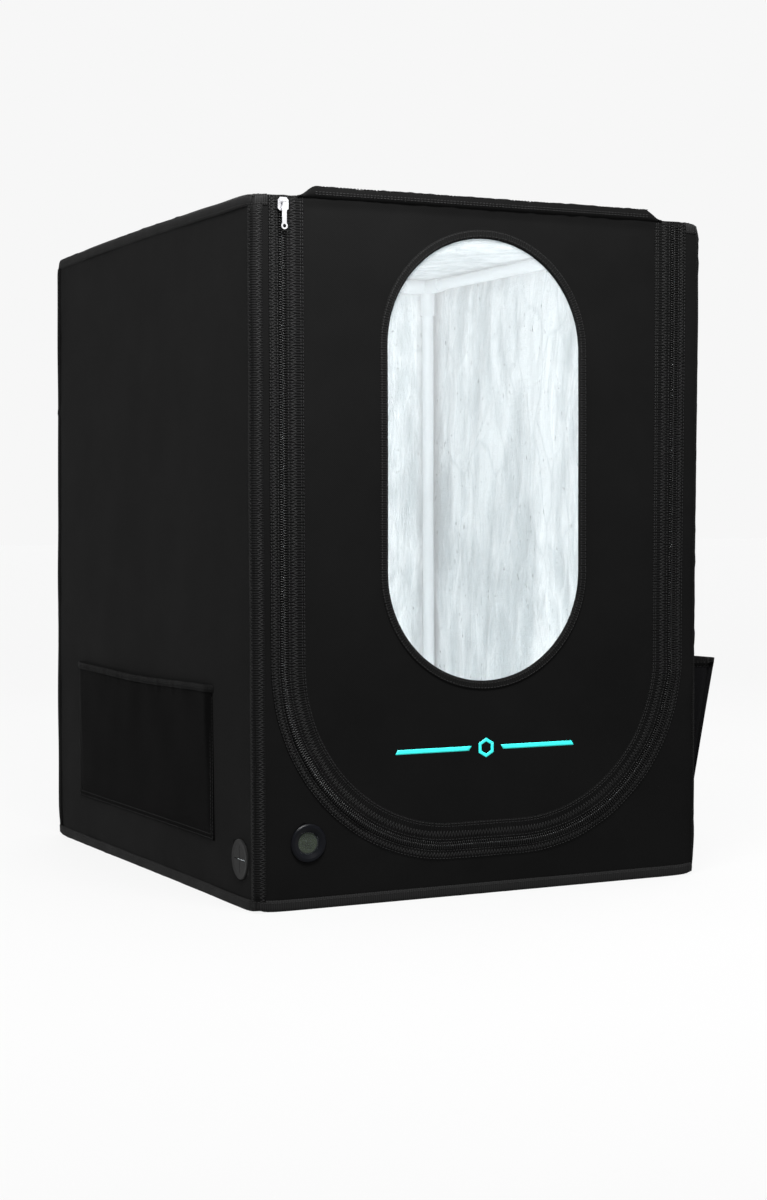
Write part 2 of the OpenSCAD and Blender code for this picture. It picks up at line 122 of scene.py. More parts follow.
def waves(seed, length, stretch=(1.0, 1.0), count=12):
    """A smooth random height field f(a, b), mostly within -1 and 1."""
    rng = np.random.default_rng(seed)
    turn = rng.uniform(0, 2 * math.pi, count)
    k = 2 * math.pi / (length * rng.uniform(0.65, 1.6, count))
    shift = rng.uniform(0, 2 * math.pi, count)

    def field(a, b):
        total = 0.0
        for i in range(count):
            total = total + np.sin(k[i] * (math.cos(turn[i]) * a / stretch[0]
                                           + math.sin(turn[i]) * b / stretch[1]) + shift[i])
        return total / math.sqrt(count)
    return field


def hang(points):
    """The sewn cover isn't quite a box: its upper right edge leans out, its lower rear left
    edge stands out, its left roof edge arches and its eight corners are rounded."""
    p = np.array(points, float).reshape(-1, 3)
    x, y, z = p.T.copy()
    across, back, up = x / RIGHT_X, (y - FRONT_Y) / (REAR_Y - FRONT_Y), z / TOP_Z
    arch = np.sin(math.pi * np.clip(back, 0, 1)) ** 2
    p[:, 0] += RIGHT_LEAN * smooth(0.5, 1, across) * smooth(0.25, 1, up)
    p[:, 0] -= LEFT_STAND * smooth(0.6, 1, -across) * smooth(0.2, 1, back) * smooth(1, 0.1, up)
    p[:, 2] += ROOF_ARCH * smooth(0.2, 1, -across) * smooth(0.9, 1, up) * arch
    corner = np.exp(-np.hypot(RIGHT_X - np.abs(x), np.minimum(y - FRONT_Y, REAR_Y - y))
                    / CORNER_REACH)
    low, high = smooth(40 * MM, 0, z), smooth(TOP_Z - 18 * MM, TOP_Z, z)
    p[:, 0] -= CORNER_PULL * np.sign(x) * corner * (low + high)
    p[:, 1] -= CORNER_PULL * np.sign(y) * corner * (low + high)
    p[:, 2] += CORNER_DROP * corner * (low - high)
    return p


def join(parts):
    """Several (points, faces, uv) as one."""
    points, faces, uvs, start = [], [], [], 0
    for p, f, uv in parts:
        points.append(np.asarray(p).reshape(-1, 3))
        uvs.append(np.asarray(uv, np.float32).reshape(-1, 2))
        faces += [tuple(v + start for v in face) for face in f]
        start += len(points[-1])
    return np.concatenate(points), faces, np.concatenate(uvs)


def piece(name, parts, body, material, soft=True):
    """A mesh piece that rides on a body, made of (points, faces, uv) parts. uv is in metres."""
    points, faces, uv = join(parts)
    mesh = bpy.data.meshes.new(name)
    mesh.from_pydata(hang(points).tolist(), [], faces)
    layer = mesh.uv_layers.new(name="UVMap")
    loops = np.zeros(len(mesh.loops), int)
    mesh.loops.foreach_get("vertex_index", loops)
    layer.data.foreach_set("uv", uv[loops].ravel())
    work = bmesh.new()
    work.from_mesh(mesh)
    bmesh.ops.recalc_face_normals(work, faces=work.faces)
    for face in work.faces:
        face.smooth = soft
    work.to_mesh(mesh)
    work.free()
    thing = bpy.data.objects.new(name, mesh)
    bpy.context.scene.collection.objects.link(thing)
    mesh.materials.append(material)
    if body:
        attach(thing, body)
    return thing


def tube_faces(rings, sides, closed=False):
    """Faces of a tube of points, ring by ring, with flat ends unless it closes on itself."""
    faces = []
    for i in range(rings if closed else rings - 1):
        a, b = i * sides, (i + 1) % rings * sides
        for j in range(sides):
            k = (j + 1) % sides
            faces.append((a + j, b + j, b + k, a + k))
    if not closed:
        faces.append(tuple(range(sides)))
        faces.append(tuple((rings - 1) * sides + j for j in reversed(range(sides))))
    return faces


def skin(outer, inner, uv, closed=False):
    """The part between two grids of points. closed joins the first rows to the last."""
    n, m = outer.shape[:2]
    under = n * m
    faces = []
    for i in range(n if closed else n - 1):
        here, after = i * m, (i + 1) % n * m
        for j in range(m - 1):
            a, b = here + j, after + j
            faces.append((a, a + 1, b + 1, b))
            faces.append((under + a, under + b, under + b + 1, under + a + 1))
        for j in (0, m - 1):
            a, b = here + j, after + j
            faces.append((a, b, under + b, under + a))
    if not closed:
        for i in (0, n - 1):
            for j in range(m - 1):
                a = i * m + j
                faces.append((a, a + 1, under + a + 1, under + a))
    points = np.concatenate([outer.reshape(-1, 3), inner.reshape(-1, 3)])
    return points, faces, np.concatenate([uv.reshape(-1, 2)] * 2)


def shell(name, outer, inner, body, material, uv, closed=False):
    """A piece that is one closed skin between two grids of points."""
    return piece(name, [skin(outer, inner, uv, closed)], body, material)


def laid(name, wall, a, b, top, thickness, body, material, closed=False):
    """A sheet over a grid on a wall, from its top height down by its thickness."""
    return shell(name, wall.at(a, b, top), wall.at(a, b, top - thickness), body, material,
                 np.stack([a, b], -1), closed)


def between(first, second, rows):
    """Grids of a and b that run from one line of (a, b) points to another."""
    t = np.linspace(0, 1, rows)[None, :, None]
    grid = first[:, None] * (1 - t) + second[:, None] * t
    return grid[..., 0], grid[..., 1]


def normals(grid):
    """Unit normals of a grid of points."""
    normal = np.cross(np.gradient(grid, axis=0), np.gradient(grid, axis=1))
    return normal / np.maximum(np.linalg.norm(normal, axis=-1, keepdims=True), 1e-12)


def run_along(path):
    """Distance along a path at each of its points."""
    return np.concatenate([[0], np.cumsum(np.linalg.norm(np.diff(path, axis=0), axis=1))])


def trace(runs, last=False):
    """Centres and outward directions along a line. Each run has its first and last centre, its
    first and last turn and its count of points. last adds the end of the line."""
    centres, turns = [], []
    for k, (first, final, turn, final_turn, count) in enumerate(runs):
        t = np.linspace(0, 1, count, endpoint=last and k == len(runs) - 1)
        centres.append(np.array(first) * (1 - t[:, None]) + np.array(final) * t[:, None])
        turns.append(turn + (final_turn - turn) * t)
    turns = np.concatenate(turns)
    return np.concatenate(centres), np.stack([np.cos(turns), np.sin(turns)], 1)


def sweep(path, side, out, profile, closed=False):
    """The part that a closed profile of (side, out) pairs makes along a path."""
    path, side, out, profile = (np.asarray(v, float) for v in (path, side, out, profile))
    points = (path[:, None] + side[:, None] * profile[None, :, :1]
              + out[:, None] * profile[None, :, 1:])
    faces = tube_faces(len(path), len(profile), closed)
    uv = np.stack(np.broadcast_arrays(run_along(path)[:, None], profile[None, :, 0]), axis=-1)
    return points.reshape(-1, 3), faces, uv.reshape(-1, 2)


def stamp(template, places, along, side, out):
    """Copies of a (points, faces) template whose x, y and z run along, to the side and out."""
    points, faces = template
    points = np.asarray(points, float)
    copies = (places[:, None] + along[:, None] * points[None, :, :1]
              + side[:, None] * points[None, :, 1:2] + out[:, None] * points[None, :, 2:])
    m = len(points)
    every = [tuple(v + k * m for v in face) for k in range(len(places)) for face in faces]
    uv = np.tile(points[:, :2], (len(places), 1))
    return copies.reshape(-1, 3), every, uv


def rounded_band(low, high, base, top, power=6, count=9):
    """The outline of a flat tape from side low to side high, with soft upper edges."""
    t = np.linspace(0, 1, count)
    rise = (1 - np.abs(2 * t - 1) ** power) ** 0.5
    upper = np.stack([low + (high - low) * t, base + (top - base) * (0.25 + 0.75 * rise)], 1)
    return np.concatenate([upper, [[high, base], [low, base]]])


def thread(length, width, height, sides=6, rings=5):
    """A short raised thread along x, as a (points, faces) template."""
    t = np.linspace(-1, 1, rings)
    swell = np.sqrt(np.clip(1 - 0.9 * t ** 4, 0, 1))
    turn = np.linspace(0, 2 * math.pi, sides, endpoint=False)
    lift = height * (0.55 - 0.5 * t ** 2)
    points = [(t[i] * length / 2, width / 2 * swell[i] * math.cos(a),
               lift[i] + height / 2 * swell[i] * math.sin(a)) for i in range(rings) for a in turn]
    return points, tube_faces(rings, sides)


def spaced(path, pitch, *fields, start=None, margin=0.0):
    """Points and unit vectors at an even pitch along a path, with its other fields carried."""
    path = np.asarray(path, float)
    along = run_along(path)
    at = np.arange(pitch / 2 if start is None else start, along[-1] - margin, pitch)

    def pick(values, where):
        return np.stack([np.interp(where, along, values[:, i]) for i in range(3)], 1)
    places = pick(path, at)
    ahead = pick(path, np.minimum(at + 0.2 * MM, along[-1])) - places
    ahead /= np.maximum(np.linalg.norm(ahead, axis=1, keepdims=True), 1e-12)
    others = []
    for field in fields:
        v = pick(np.broadcast_to(np.asarray(field, float), path.shape), at)
        others.append(v / np.linalg.norm(v, axis=1, keepdims=True))
    return places, ahead, others


STITCH = thread(3.0 * MM, 0.75 * MM, 0.5 * MM)


def stitches(path, out, pitch=4.0 * MM, template=STITCH):
    """A straight row of stitches along a path that lies on a surface."""
    places, ahead, (up,) = spaced(path, pitch, out)
    return stamp(template, places, ahead, np.cross(up, ahead), up)


def zigzag(path, side, out, half_w, pitch=2.2 * MM):
    """A zigzag row of stitches that runs from one side of a path to the other."""
    places, ahead, (across, up) = spaced(path, pitch, side, out)
    sign = np.where(np.arange(len(places)) % 2, 1.0, -1.0)[:, None]
    run = 2 * half_w * across * sign + ahead * pitch
    length = np.linalg.norm(run, axis=1, keepdims=True)
    template = thread(math.hypot(2 * half_w, pitch), 0.7 * MM, 0.45 * MM)
    run /= length
    return stamp(template, places, run, np.cross(up, run), up)


# Materials -----------------------------------------------------------------------------------

class Paint:
    """A node material: its shader, and short ways to add and join nodes."""

    def __init__(self, name, **settings):
        self.material = bpy.data.materials.new(name)
        self.material.use_nodes = True
        self.tree = self.material.node_tree
        self.shader = self.tree.nodes["Principled BSDF"]
        for socket, value in settings.items():
            self.shader.inputs[socket.replace("_", " ")].default_value = value

    def add(self, kind, *inputs, **settings):
        node = self.tree.nodes.new("ShaderNode" + kind)
        for key, value in settings.items():
            setattr(node, key, value)
        for i, value in enumerate(inputs):
            if value is None:
                continue
            if hasattr(value, "is_output"):
                self.tree.links.new(value, node.inputs[i])
            else:
                node.inputs[i].default_value = value
        return node

    def math(self, operation, *inputs):
        return self.add("Math", *inputs, operation=operation).outputs[0]

    def place(self, kind="UV"):
        """Texture coordinates of one kind."""
        return self.add("TexCoord").outputs[kind]

    def noise(self, where, scale, detail=3.0, rough=0.5, stretch=None):
        """Brightness of a cloud texture, 0 to 1."""
        if stretch:
            where = self.add("Mapping", where, None, None, stretch).outputs[0]
        node = self.add("TexNoise", where)
        node.inputs["Scale"].default_value = scale
        node.inputs["Detail"].default_value = detail
        node.inputs["Roughness"].default_value = rough
        return node.outputs[0]

    def remap(self, value, low, high, from_low=0.0, from_high=1.0):
        """Stretches a value from one range to another."""
        return self.add("MapRange", value, from_low, from_high, low, high).outputs[0]

    def mix(self, share, first, second):
        """Blend of two colours or two sockets."""
        node = self.add("Mix", data_type="RGBA")
        for socket, value in (("Factor", share), ("A", first), ("B", second)):
            inputs = [s for s in node.inputs if s.name == socket and s.enabled]
            if hasattr(value, "is_output"):
                self.tree.links.new(value, inputs[0])
            else:
                inputs[0].default_value = value
        return next(s for s in node.outputs if s.enabled)

    def bump(self, height, strength, distance):
        """Lets a height change the way the surface catches light."""
        node = self.add("Bump")
        node.inputs["Strength"].default_value = strength
        node.inputs["Distance"].default_value = distance
        self.tree.links.new(height, node.inputs["Height"])
        self.tree.links.new(node.outputs[0], self.shader.inputs["Normal"])

    def feed(self, socket, value):
        """Links a value to one input of the shader."""
        self.tree.links.new(value, self.shader.inputs[socket])


def grey(value, tint=(1.0, 1.0, 1.0)):
    """A colour of one brightness, with a tint if one is given."""
    return (value * tint[0], value * tint[1], value * tint[2], 1.0)


def woven(name, dark, light, pitch=1.1 * MM, roughness=(0.72, 0.86), specular=0.035):
    """Plain-woven cloth: over and under threads, faint blotches and dust."""
    p = Paint(name, Specular_IOR_Level=specular, Sheen_Weight=0.01, Sheen_Roughness=0.4)
    where = p.place()
    parts = p.add("SeparateXYZ", where)
    turns = 2 * math.pi / (2 * pitch)
    warp = p.math("SINE", p.math("MULTIPLY", parts.outputs[0], turns))
    weft = p.math("SINE", p.math("MULTIPLY", parts.outputs[1], turns))
    weave = p.math("MULTIPLY", warp, weft)
    slub = p.noise(where, 420.0, 2.0)
    height = p.math("ADD", p.math("MULTIPLY", weave, 0.5), slub)
    blotch = p.noise(where, 7.0, 4.0, 0.6)
    tone = p.math("ADD", p.math("MULTIPLY", weave, 0.14), blotch)
    p.feed("Base Color", p.mix(p.remap(tone, 0.0, 1.0, 0.2, 0.85), dark, light))
    p.feed("Roughness", p.remap(blotch, roughness[0], roughness[1], 0.3, 0.7))
    p.bump(height, 0.5, 0.25 * MM)
    return p.material


def ribbed(name, dark, light, pitch, roughness=0.7, strength=0.7, specular=0.028):
    """Woven tape with ribs across its length."""
    p = Paint(name, Specular_IOR_Level=specular, Sheen_Weight=0.005, Sheen_Roughness=0.35)
    where = p.place()
    parts = p.add("SeparateXYZ", where)
    rib = p.math("SINE", p.math("MULTIPLY", parts.outputs[0], 2 * math.pi / pitch))
    line = p.math("SINE", p.math("MULTIPLY", parts.outputs[1], 2 * math.pi / (1.3 * MM)))
    height = p.math("ADD", rib, p.math("MULTIPLY", line, 0.3))
    blotch = p.noise(where, 30.0, 3.0)
    tone = p.math("ADD", p.remap(rib, 0.0, 0.5, -1.0, 1.0), p.math("MULTIPLY", blotch, 0.5))
    p.feed("Base Color", p.mix(tone, dark, light))
    p.feed("Roughness", p.remap(blotch, roughness - 0.08, roughness + 0.08, 0.3, 0.7))
    p.bump(height, strength, 0.3 * MM)
    return p.material


def foil():
    """Aluminised film: bright and crumpled into small facets. Long soft light and dark streaks are
    painted into its colour as reflection and shade of its folds, and its crease lines are painted
    darker as shade.
    """
    p = Paint("foil_film", Metallic=0.5)
    where = p.place("Object")
    tilted = p.add("Mapping", where, None, (0.12, 0.2, 0.1), (1.0, 1.0, 0.22)).outputs[0]
    streak = p.noise(tilted, 17.0, 9.0, 0.74)
    bent = p.add("Mapping", where, None, (0.15, 0.26, 0.2), (1.0, 1.0, 0.36)).outputs[0]
    warp = p.add("TexNoise", bent)
    warp.inputs["Scale"].default_value = 9.0
    swirl = p.add("VectorMath", warp.outputs[1], (0.11, 0.11, 0.11), operation="MULTIPLY")
    swirl = p.add("VectorMath", bent, swirl.outputs[0], operation="ADD").outputs[0]
    facets = []
    for scale in (14.0, 37.0):
        cell = p.add("TexVoronoi", swirl)
        cell.inputs["Scale"].default_value = scale
        facets.append(cell.outputs["Distance"])
    small = p.noise(where, 150.0, 4.0, 0.6, (1.0, 1.0, 0.55))
    height = p.math("ADD", facets[0], p.math("MULTIPLY", facets[1], 0.45))
    height = p.math("ADD", height, p.math("MULTIPLY", small, 0.12))
    height = p.math("ADD", height, p.math("MULTIPLY", streak, 0.8))
    # Painted shade: the edges of these cells darken the film's colour along its crease lines.
    creases = p.add("TexVoronoi", swirl, feature="DISTANCE_TO_EDGE")
    creases.inputs["Scale"].default_value = 21.0
    line = p.remap(creases.outputs["Distance"], 0.0, 1.0, 0.0, 0.05)
    patch = p.remap(p.noise(tilted, 6.5, 3.0, 0.55), 0.0, 1.0, 0.36, 0.66)
    # Painted reflection and shade: the streaks, facets and patches below lighten and darken the
    # film's colour.
    tone = p.math("ADD", streak, p.math("MULTIPLY", facets[1], 0.2))
    tone = p.math("ADD", tone, p.math("MULTIPLY", patch, 0.22))
    tone = p.remap(tone, 0, 1, 0.56, 0.80)
    tone = p.math("MULTIPLY", tone, p.remap(line, 0.62, 1.0))
    p.feed("Base Color", p.mix(tone, (0.50, 0.56, 0.58, 1), (0.92, 0.95, 0.96, 1)))
    p.feed("Roughness", p.remap(small, 0.26, 0.42, 0.3, 0.7))
    p.bump(height, 0.9, 10 * MM)
    return p.material


def clear_film(name, tone, alpha, specular):
    """Thin film that is mostly seen through, with a faint haze."""
    p = Paint(name, Base_Color=tone, Roughness=0.08, IOR=1.5, Alpha=alpha)
    p.shader.inputs["Specular IOR Level"].default_value = specular
    haze = p.noise(p.place("Object"), 9.0, 3.0)
    p.feed("Roughness", p.remap(haze, 0.04, 0.14, 0.3, 0.7))
    p.bump(haze, 0.25, 6 * MM)
    return p.material


def metal(name, colour, low, high, scale=60.0):
    """Plated metal with faint handling marks."""
    p = Paint(name, Metallic=1.0)
    where = p.place("Object")
    marks = p.noise(where, scale, 5.0, 0.65)
    worn = p.noise(where, scale * 6, 2.0)
    p.feed("Base Color", p.mix(marks, colour, tuple(min(1, c * 1.18) for c in colour[:3]) + (1,)))
    p.feed("Roughness", p.remap(marks, low, high, 0.3, 0.7))
    p.bump(worn, 0.08, 0.1 * MM)
    return p.material


def moulded(name, dark, light, roughness, scale=260.0, strength=0.25, specular=0.5):
    """Moulded plastic or rubber with a fine grain."""
    p = Paint(name, Specular_IOR_Level=specular)
    where = p.place("Object")
    grain = p.noise(where, scale * 4, 2.0)
    tone = p.noise(where, scale / 10, 3.0)
    p.feed("Base Color", p.mix(tone, dark, light))
    p.feed("Roughness", p.remap(grain, roughness - 0.06, roughness + 0.06, 0.3, 0.7))
    p.bump(grain, strength, 0.12 * MM)
    return p.material


def pale_floor():
    """A studio sweep that is bright by itself, so that shadows on it stay faint."""
    p = Paint("pale_floor", Roughness=0.9, Specular_IOR_Level=0.1)
    tone = p.noise(p.place("Object"), 3.0)
    p.feed("Base Color", p.mix(tone, grey(0.028), grey(0.032)))
    p.shader.inputs["Emission Color"].default_value = (1, 1, 1, 1)
    p.shader.inputs["Emission Strength"].default_value = 0.87
    return p.material


OXFORD = woven("black_oxford", grey(0.0016), grey(0.0034), specular=0.03)
BAG_CLOTH = woven("bag_oxford", grey(0.0022, (1, 1, 1.12)), grey(0.0045, (1, 1, 1.1)))
# Darker, less shiny copy of the cover's oxford: its darkness is painted shade, low on the dim left
# wall.
SHADED_POCKET_CLOTH = woven("pocket_oxford_painted_shade", grey(0.0005), grey(0.0014), specular=0.012)
BINDING = ribbed("binding_tape", grey(0.001), grey(0.006), 2.6 * MM)
# Lighter, shinier copy of the binding tape: its extra lightness is a painted highlight on the foot
# and roof edges, where the tape catches the light.
HIGHLIT_EDGE_TAPE = ribbed("edge_tape_painted_highlight", grey(0.0025), grey(0.011), 2.6 * MM, specular=0.055)
ZIP_TAPE = ribbed("zipper_tape", grey(0.0008), grey(0.0042), 2.8 * MM, 0.64, 0.9)
THREAD = moulded("black_thread", grey(0.009), grey(0.018), 0.6, 900.0, 0.3, 0.05)
COIL = moulded("zipper_coil", grey(0.002), grey(0.005), 0.34, 500.0, 0.1, 0.16)
FOIL = foil()
FILM = clear_film("clear_film", (0.9, 0.94, 0.96, 1), 0.08, 0.4)
LENS = clear_film("meter_lens", (0.1, 0.11, 0.12, 1), 0.05, 0.12)
SILVER = metal("slider_plating", (0.78, 0.78, 0.80, 1), 0.18, 0.34)
POLE = moulded("pole_coating", (0.58, 0.62, 0.64, 1), (0.66, 0.69, 0.71, 1), 0.35, 40.0, 0.1)
JOINER = moulded("connector_plastic", (0.54, 0.58, 0.6, 1), (0.62, 0.65, 0.67, 1), 0.45)
PRINT = moulded("printed_mark", (0.008, 0.5, 0.46, 1), (0.012, 0.62, 0.57, 1), 0.5, 200.0, 0.15)
BEZEL = moulded("meter_plastic", (0.0012, 0.0014, 0.0022, 1), (0.0025, 0.0028, 0.004, 1), 0.34,
                300.0, 0.1, 0.07)
RUBBER = moulded("grommet_rubber", grey(0.005), grey(0.008), 0.6, 180.0, 0.3, 0.12)
LCD = moulded("meter_screen", (0.016, 0.021, 0.012, 1), (0.021, 0.027, 0.016, 1), 0.6, 90.0,
              0.02, 0.03)
DIGIT = moulded("meter_digits", grey(0.002), grey(0.004), 0.5, 90.0, 0.02, 0.03)
BOARD = moulded("circuit_board", (0.01, 0.09, 0.03, 1), (0.015, 0.13, 0.045, 1), 0.4)
STAGE = pale_floor()


# Camera, floor and light ---------------------------------------------------------------------

CAMERA_PLACE = (-1.15006, -2.39098, 0.41459)
CAMERA_TURNS = (26.386, -2.203, -0.209)         # yaw, pitch and roll, in degrees
LENS_LENGTH, SENSOR_WIDTH = 64.63, 36           # in millimetres
FLOOR_REACH = 30.0
LIGHTS = (                                      # name, place, aim, size, watts
    ("key_light", (-0.3, -0.9, 1.35), (-0.15, FRONT_Y, 0.55), (0.8, 0.3), 52),
    ("right_light", (1.9, 0.5, 1.5), (0, 0.1, 0.4), (1.2, 0.9), 22),
    ("rear_light", (0.5, 1.9, 1.5), (0, 0, 0.4), (1.2, 0.9), 16),
    ("side_light", (-1.5, 0.1, 1.5), (0, 0, 0.5), (0.9, 0.6), 0.8),
    ("inner_light", (-0.05, FRONT_Y + 0.07, TOP_Z - 0.07), (0.1, REAR_Y, -0.1), (0.3, 0.06), 1.05),
    ("low_light", (-0.05, FRONT_Y + 0.07, 0.12), (0.1, REAR_Y, 0.3), (0.3, 0.06), 0.75),
)


def studio():
    """Camera at the photo's angle, a pale world, a floor and the lights."""
    yaw, pitch, roll = (math.radians(v) for v in CAMERA_TURNS)
    ahead = Vector((math.sin(yaw) * math.cos(pitch), math.cos(yaw) * math.cos(pitch),
                    math.sin(pitch)))
    right = Vector((math.cos(yaw), -math.sin(yaw), 0))
    up = right.cross(ahead)
    right, up = (right * math.cos(roll) + up * math.sin(roll),
                 up * math.cos(roll) - right * math.sin(roll))
    lens = bpy.data.cameras.new("camera")
    lens.sensor_width = SENSOR_WIDTH
    lens.lens = LENS_LENGTH
    camera = bpy.data.objects.new("camera", lens)
    turned = Matrix((right, up, -ahead)).transposed().to_4x4()
    camera.matrix_world = Matrix.Translation(CAMERA_PLACE) @ turned
    bpy.context.scene.collection.objects.link(camera)
    bpy.context.scene.camera = camera

    world = bpy.data.worlds.new("studio")
    bpy.context.scene.world = world
    world.use_nodes = True
    world.node_tree.nodes["Background"].inputs["Color"].default_value = (0.93, 0.93, 0.93, 1)
    world.node_tree.nodes["Background"].inputs["Strength"].default_value = 1.0
    bpy.context.scene.view_settings.view_transform = "Standard"

    ground = bpy.data.meshes.new("floor")
    corners = [(x * FLOOR_REACH, y * FLOOR_REACH, 0)
               for x, y in ((-1, -1), (1, -1), (1, 1), (-1, 1))]
    ground.from_pydata(corners, [], [(0, 1, 2, 3)])
    ground.materials.append(STAGE)
    floor = bpy.data.objects.new("floor", ground)
    bpy.context.scene.collection.objects.link(floor)
    for light in LIGHTS:
        area_light(*light)


def area_light(name, place, aim, size, watts):
    """A soft light that the camera doesn't see."""
    lamp = bpy.data.lights.new(name, "AREA")
    lamp.shape = "RECTANGLE"
    lamp.size, lamp.size_y = size
    lamp.energy = watts
    thing = bpy.data.objects.new(name, lamp)
    thing.location = place
    thing.rotation_mode = "QUATERNION"
    thing.rotation_quaternion = (Vector(aim) - Vector(place)).to_track_quat("-Z", "Y")
    thing.visible_camera = False
    bpy.context.scene.collection.objects.link(thing)


# Cover ---------------------------------------------------------------------------------------

def puckers(seed, a, b, low_a, high_a, low_b, high_b, depth=0.5 * MM):
    """Small gathers that the binding's stitching draws into the cloth near its edges."""
    edge_a = np.minimum(a - low_a, high_a - a)
    edge_b = np.minimum(b - low_b, high_b - b)
    near_a = np.exp(-np.clip(edge_a, 0, 1) / (16 * MM))
    near_b = np.exp(-np.clip(edge_b, 0, 1) / (16 * MM))
    across_a = waves(seed, 24 * MM, (8.0, 1.0))(a, b)
    across_b = waves(seed + 1, 24 * MM, (1.0, 8.0))(a, b)
    return depth * (near_a * across_a + near_b * across_b)


def taut(seed, a, b, low_a, high_a, low_b, high_b, belly=2.0 * MM, rough=0.9 * MM):
    """Height of a cloth panel that is stretched between its four edges."""
    s = np.clip((a - low_a) / (high_a - low_a), 0, 1)
    t = np.clip((b - low_b) / (high_b - low_b), 0, 1)
    room = (16 * s * (1 - s) * t * (1 - t)) ** 0.7
    slow = waves(seed, 0.34, (1.0, 1.4))(a, b)
    quick = waves(seed + 7, 0.11, (1.0, 1.8))(a, b)
    return (room * (belly + rough * slow + 0.25 * rough * quick)
            + puckers(seed + 3, a, b, low_a, high_a, low_b, high_b))


def wall_grid(low_a, high_a, low_b, high_b, step):
    """A grid of (a, b) values with a spacing near step."""
    n = max(2, round((high_a - low_a) / step))
    m = max(2, round((high_b - low_b) / step))
    return np.meshgrid(np.linspace(low_a, high_a, n + 1), np.linspace(low_b, high_b, m + 1),
                       indexing="ij")


def wall_piece(name, wall, spans, height, thickness, material, step=9 * MM):
    """A plain sheet over a whole wall of the cover."""
    a, b = wall_grid(*spans, step)
    return laid(name, wall, a, b, height(a, b), thickness, "cover", material)


def cut_round(thing, centre, axis, radius, reach=12 * MM):
    """Cuts a round hole through a piece."""
    work = bmesh.new()
    bmesh.ops.create_cone(work, cap_ends=True, segments=64, radius1=radius, radius2=radius,
                          depth=2 * reach)
    mesh = bpy.data.meshes.new("cutter")
    work.to_mesh(mesh)
    work.free()
    cutter = bpy.data.objects.new("cutter", mesh)
    bpy.context.scene.collection.objects.link(cutter)
    cutter.rotation_mode = "QUATERNION"
    cutter.rotation_quaternion = Vector(axis).to_track_quat("Z", "Y")
    cutter.location = centre
    cut = thing.modifiers.new("hole", "BOOLEAN")
    cut.operation, cut.solver, cut.object = "DIFFERENCE", "EXACT", cutter
    bpy.context.view_layer.update()
    seen = thing.evaluated_get(bpy.context.evaluated_depsgraph_get())
    result = bpy.data.meshes.new_from_object(seen)
    thing.modifiers.clear()
    thing.data = result
    bpy.data.objects.remove(cutter)


def declare(node, spans_or_size):
    """Hides the CAD node, if one is given, that a piece stands in for. The piece's cut size is
    worked out but goes nowhere.
    """
    if node:
        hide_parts(node)
    size = spans_or_size
    if len(size) == 4:
        size = (size[1] - size[0], size[3] - size[2])


def sewn(name, rows, body="cover"):
    """Rows of stitches as one piece."""
    piece(name, rows, body, THREAD)


def bound(name, parts, node, material, body="cover"):
    """Tape as one piece that stands for a CAD node."""
    tape = piece(name, parts, body, material)
    if node:
        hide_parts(node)


SIDE_SPANS = (FRONT_Y, REAR_Y, 0, TOP_Z)
END_SPANS = (LEFT_X, RIGHT_X, 0, TOP_Z)
FLAT_SPANS = (LEFT_X, RIGHT_X, FRONT_Y, REAR_Y)
GROMMET = (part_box("cable_grommet")[0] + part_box("cable_grommet")[1]) / 2
METER = (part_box("meter_bezel")[0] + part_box("meter_bezel")[1]) / 2


def left_height(a, b):
    """The left wall is flat around the grommet, and taut elsewhere."""
    return (taut(11, a, b, *SIDE_SPANS)
            * smooth(30 * MM, 70 * MM, np.hypot(a - GROMMET.y, b - GROMMET.z)))


# name, face, its edges, height of its cloth, seed and depth of its lining's folds
PANELS = (
    ("left", LEFT, SIDE_SPANS, left_height, 61, 2.2),
    ("right", RIGHT, SIDE_SPANS, lambda a, b: taut(21, a, b, *SIDE_SPANS), 62, 2.6),
    ("rear", REAR, END_SPANS, lambda a, b: taut(31, a, b, *END_SPANS), 63, 2.6),
    ("roof", ROOF, FLAT_SPANS, lambda a, b: taut(41, a, b, *FLAT_SPANS, belly=-3 * MM), 64, 1.6),
    ("floor", FLOOR, FLAT_SPANS, lambda a, b: 0 * a, 65, 0.5),
)


def cover_panels():
    """The side, rear, roof and floor cloths."""
    for name, wall, spans, height, _, _ in PANELS:
        thing = wall_piece(f"{name}_cloth", wall, spans, height, CLOTH, OXFORD)
        if wall is LEFT:
            cut_round(thing, GROMMET, (1, 0, 0), GROMMET_HOLE_R)
        declare(f"{name}_panel", spans)


def u_line(top=ZIP_TOP, count=260):
    """The zipper's U line: points (x, z) and outward directions."""
    arc = math.pi / 2 * ZIP_CORNER_R
    lengths = (top - BEND_Z, arc, 2 * BEND_X, arc, top - BEND_Z)
    n = [max(3, round(count * length / sum(lengths))) for length in lengths]
    left, right = (-BEND_X, BEND_Z), (BEND_X, BEND_Z)
    centres, sides = trace((
        ((-BEND_X, top), left, math.pi, math.pi, n[0]),
        (left, left, math.pi, 1.5 * math.pi, n[1]),
        (left, right, 1.5 * math.pi, 1.5 * math.pi, n[2]),
        (right, right, 1.5 * math.pi, 2 * math.pi, n[3]),
        (right, (BEND_X, top), 2 * math.pi, 2 * math.pi, n[4])), last=True)
    return centres + sides * ZIP_CORNER_R, sides


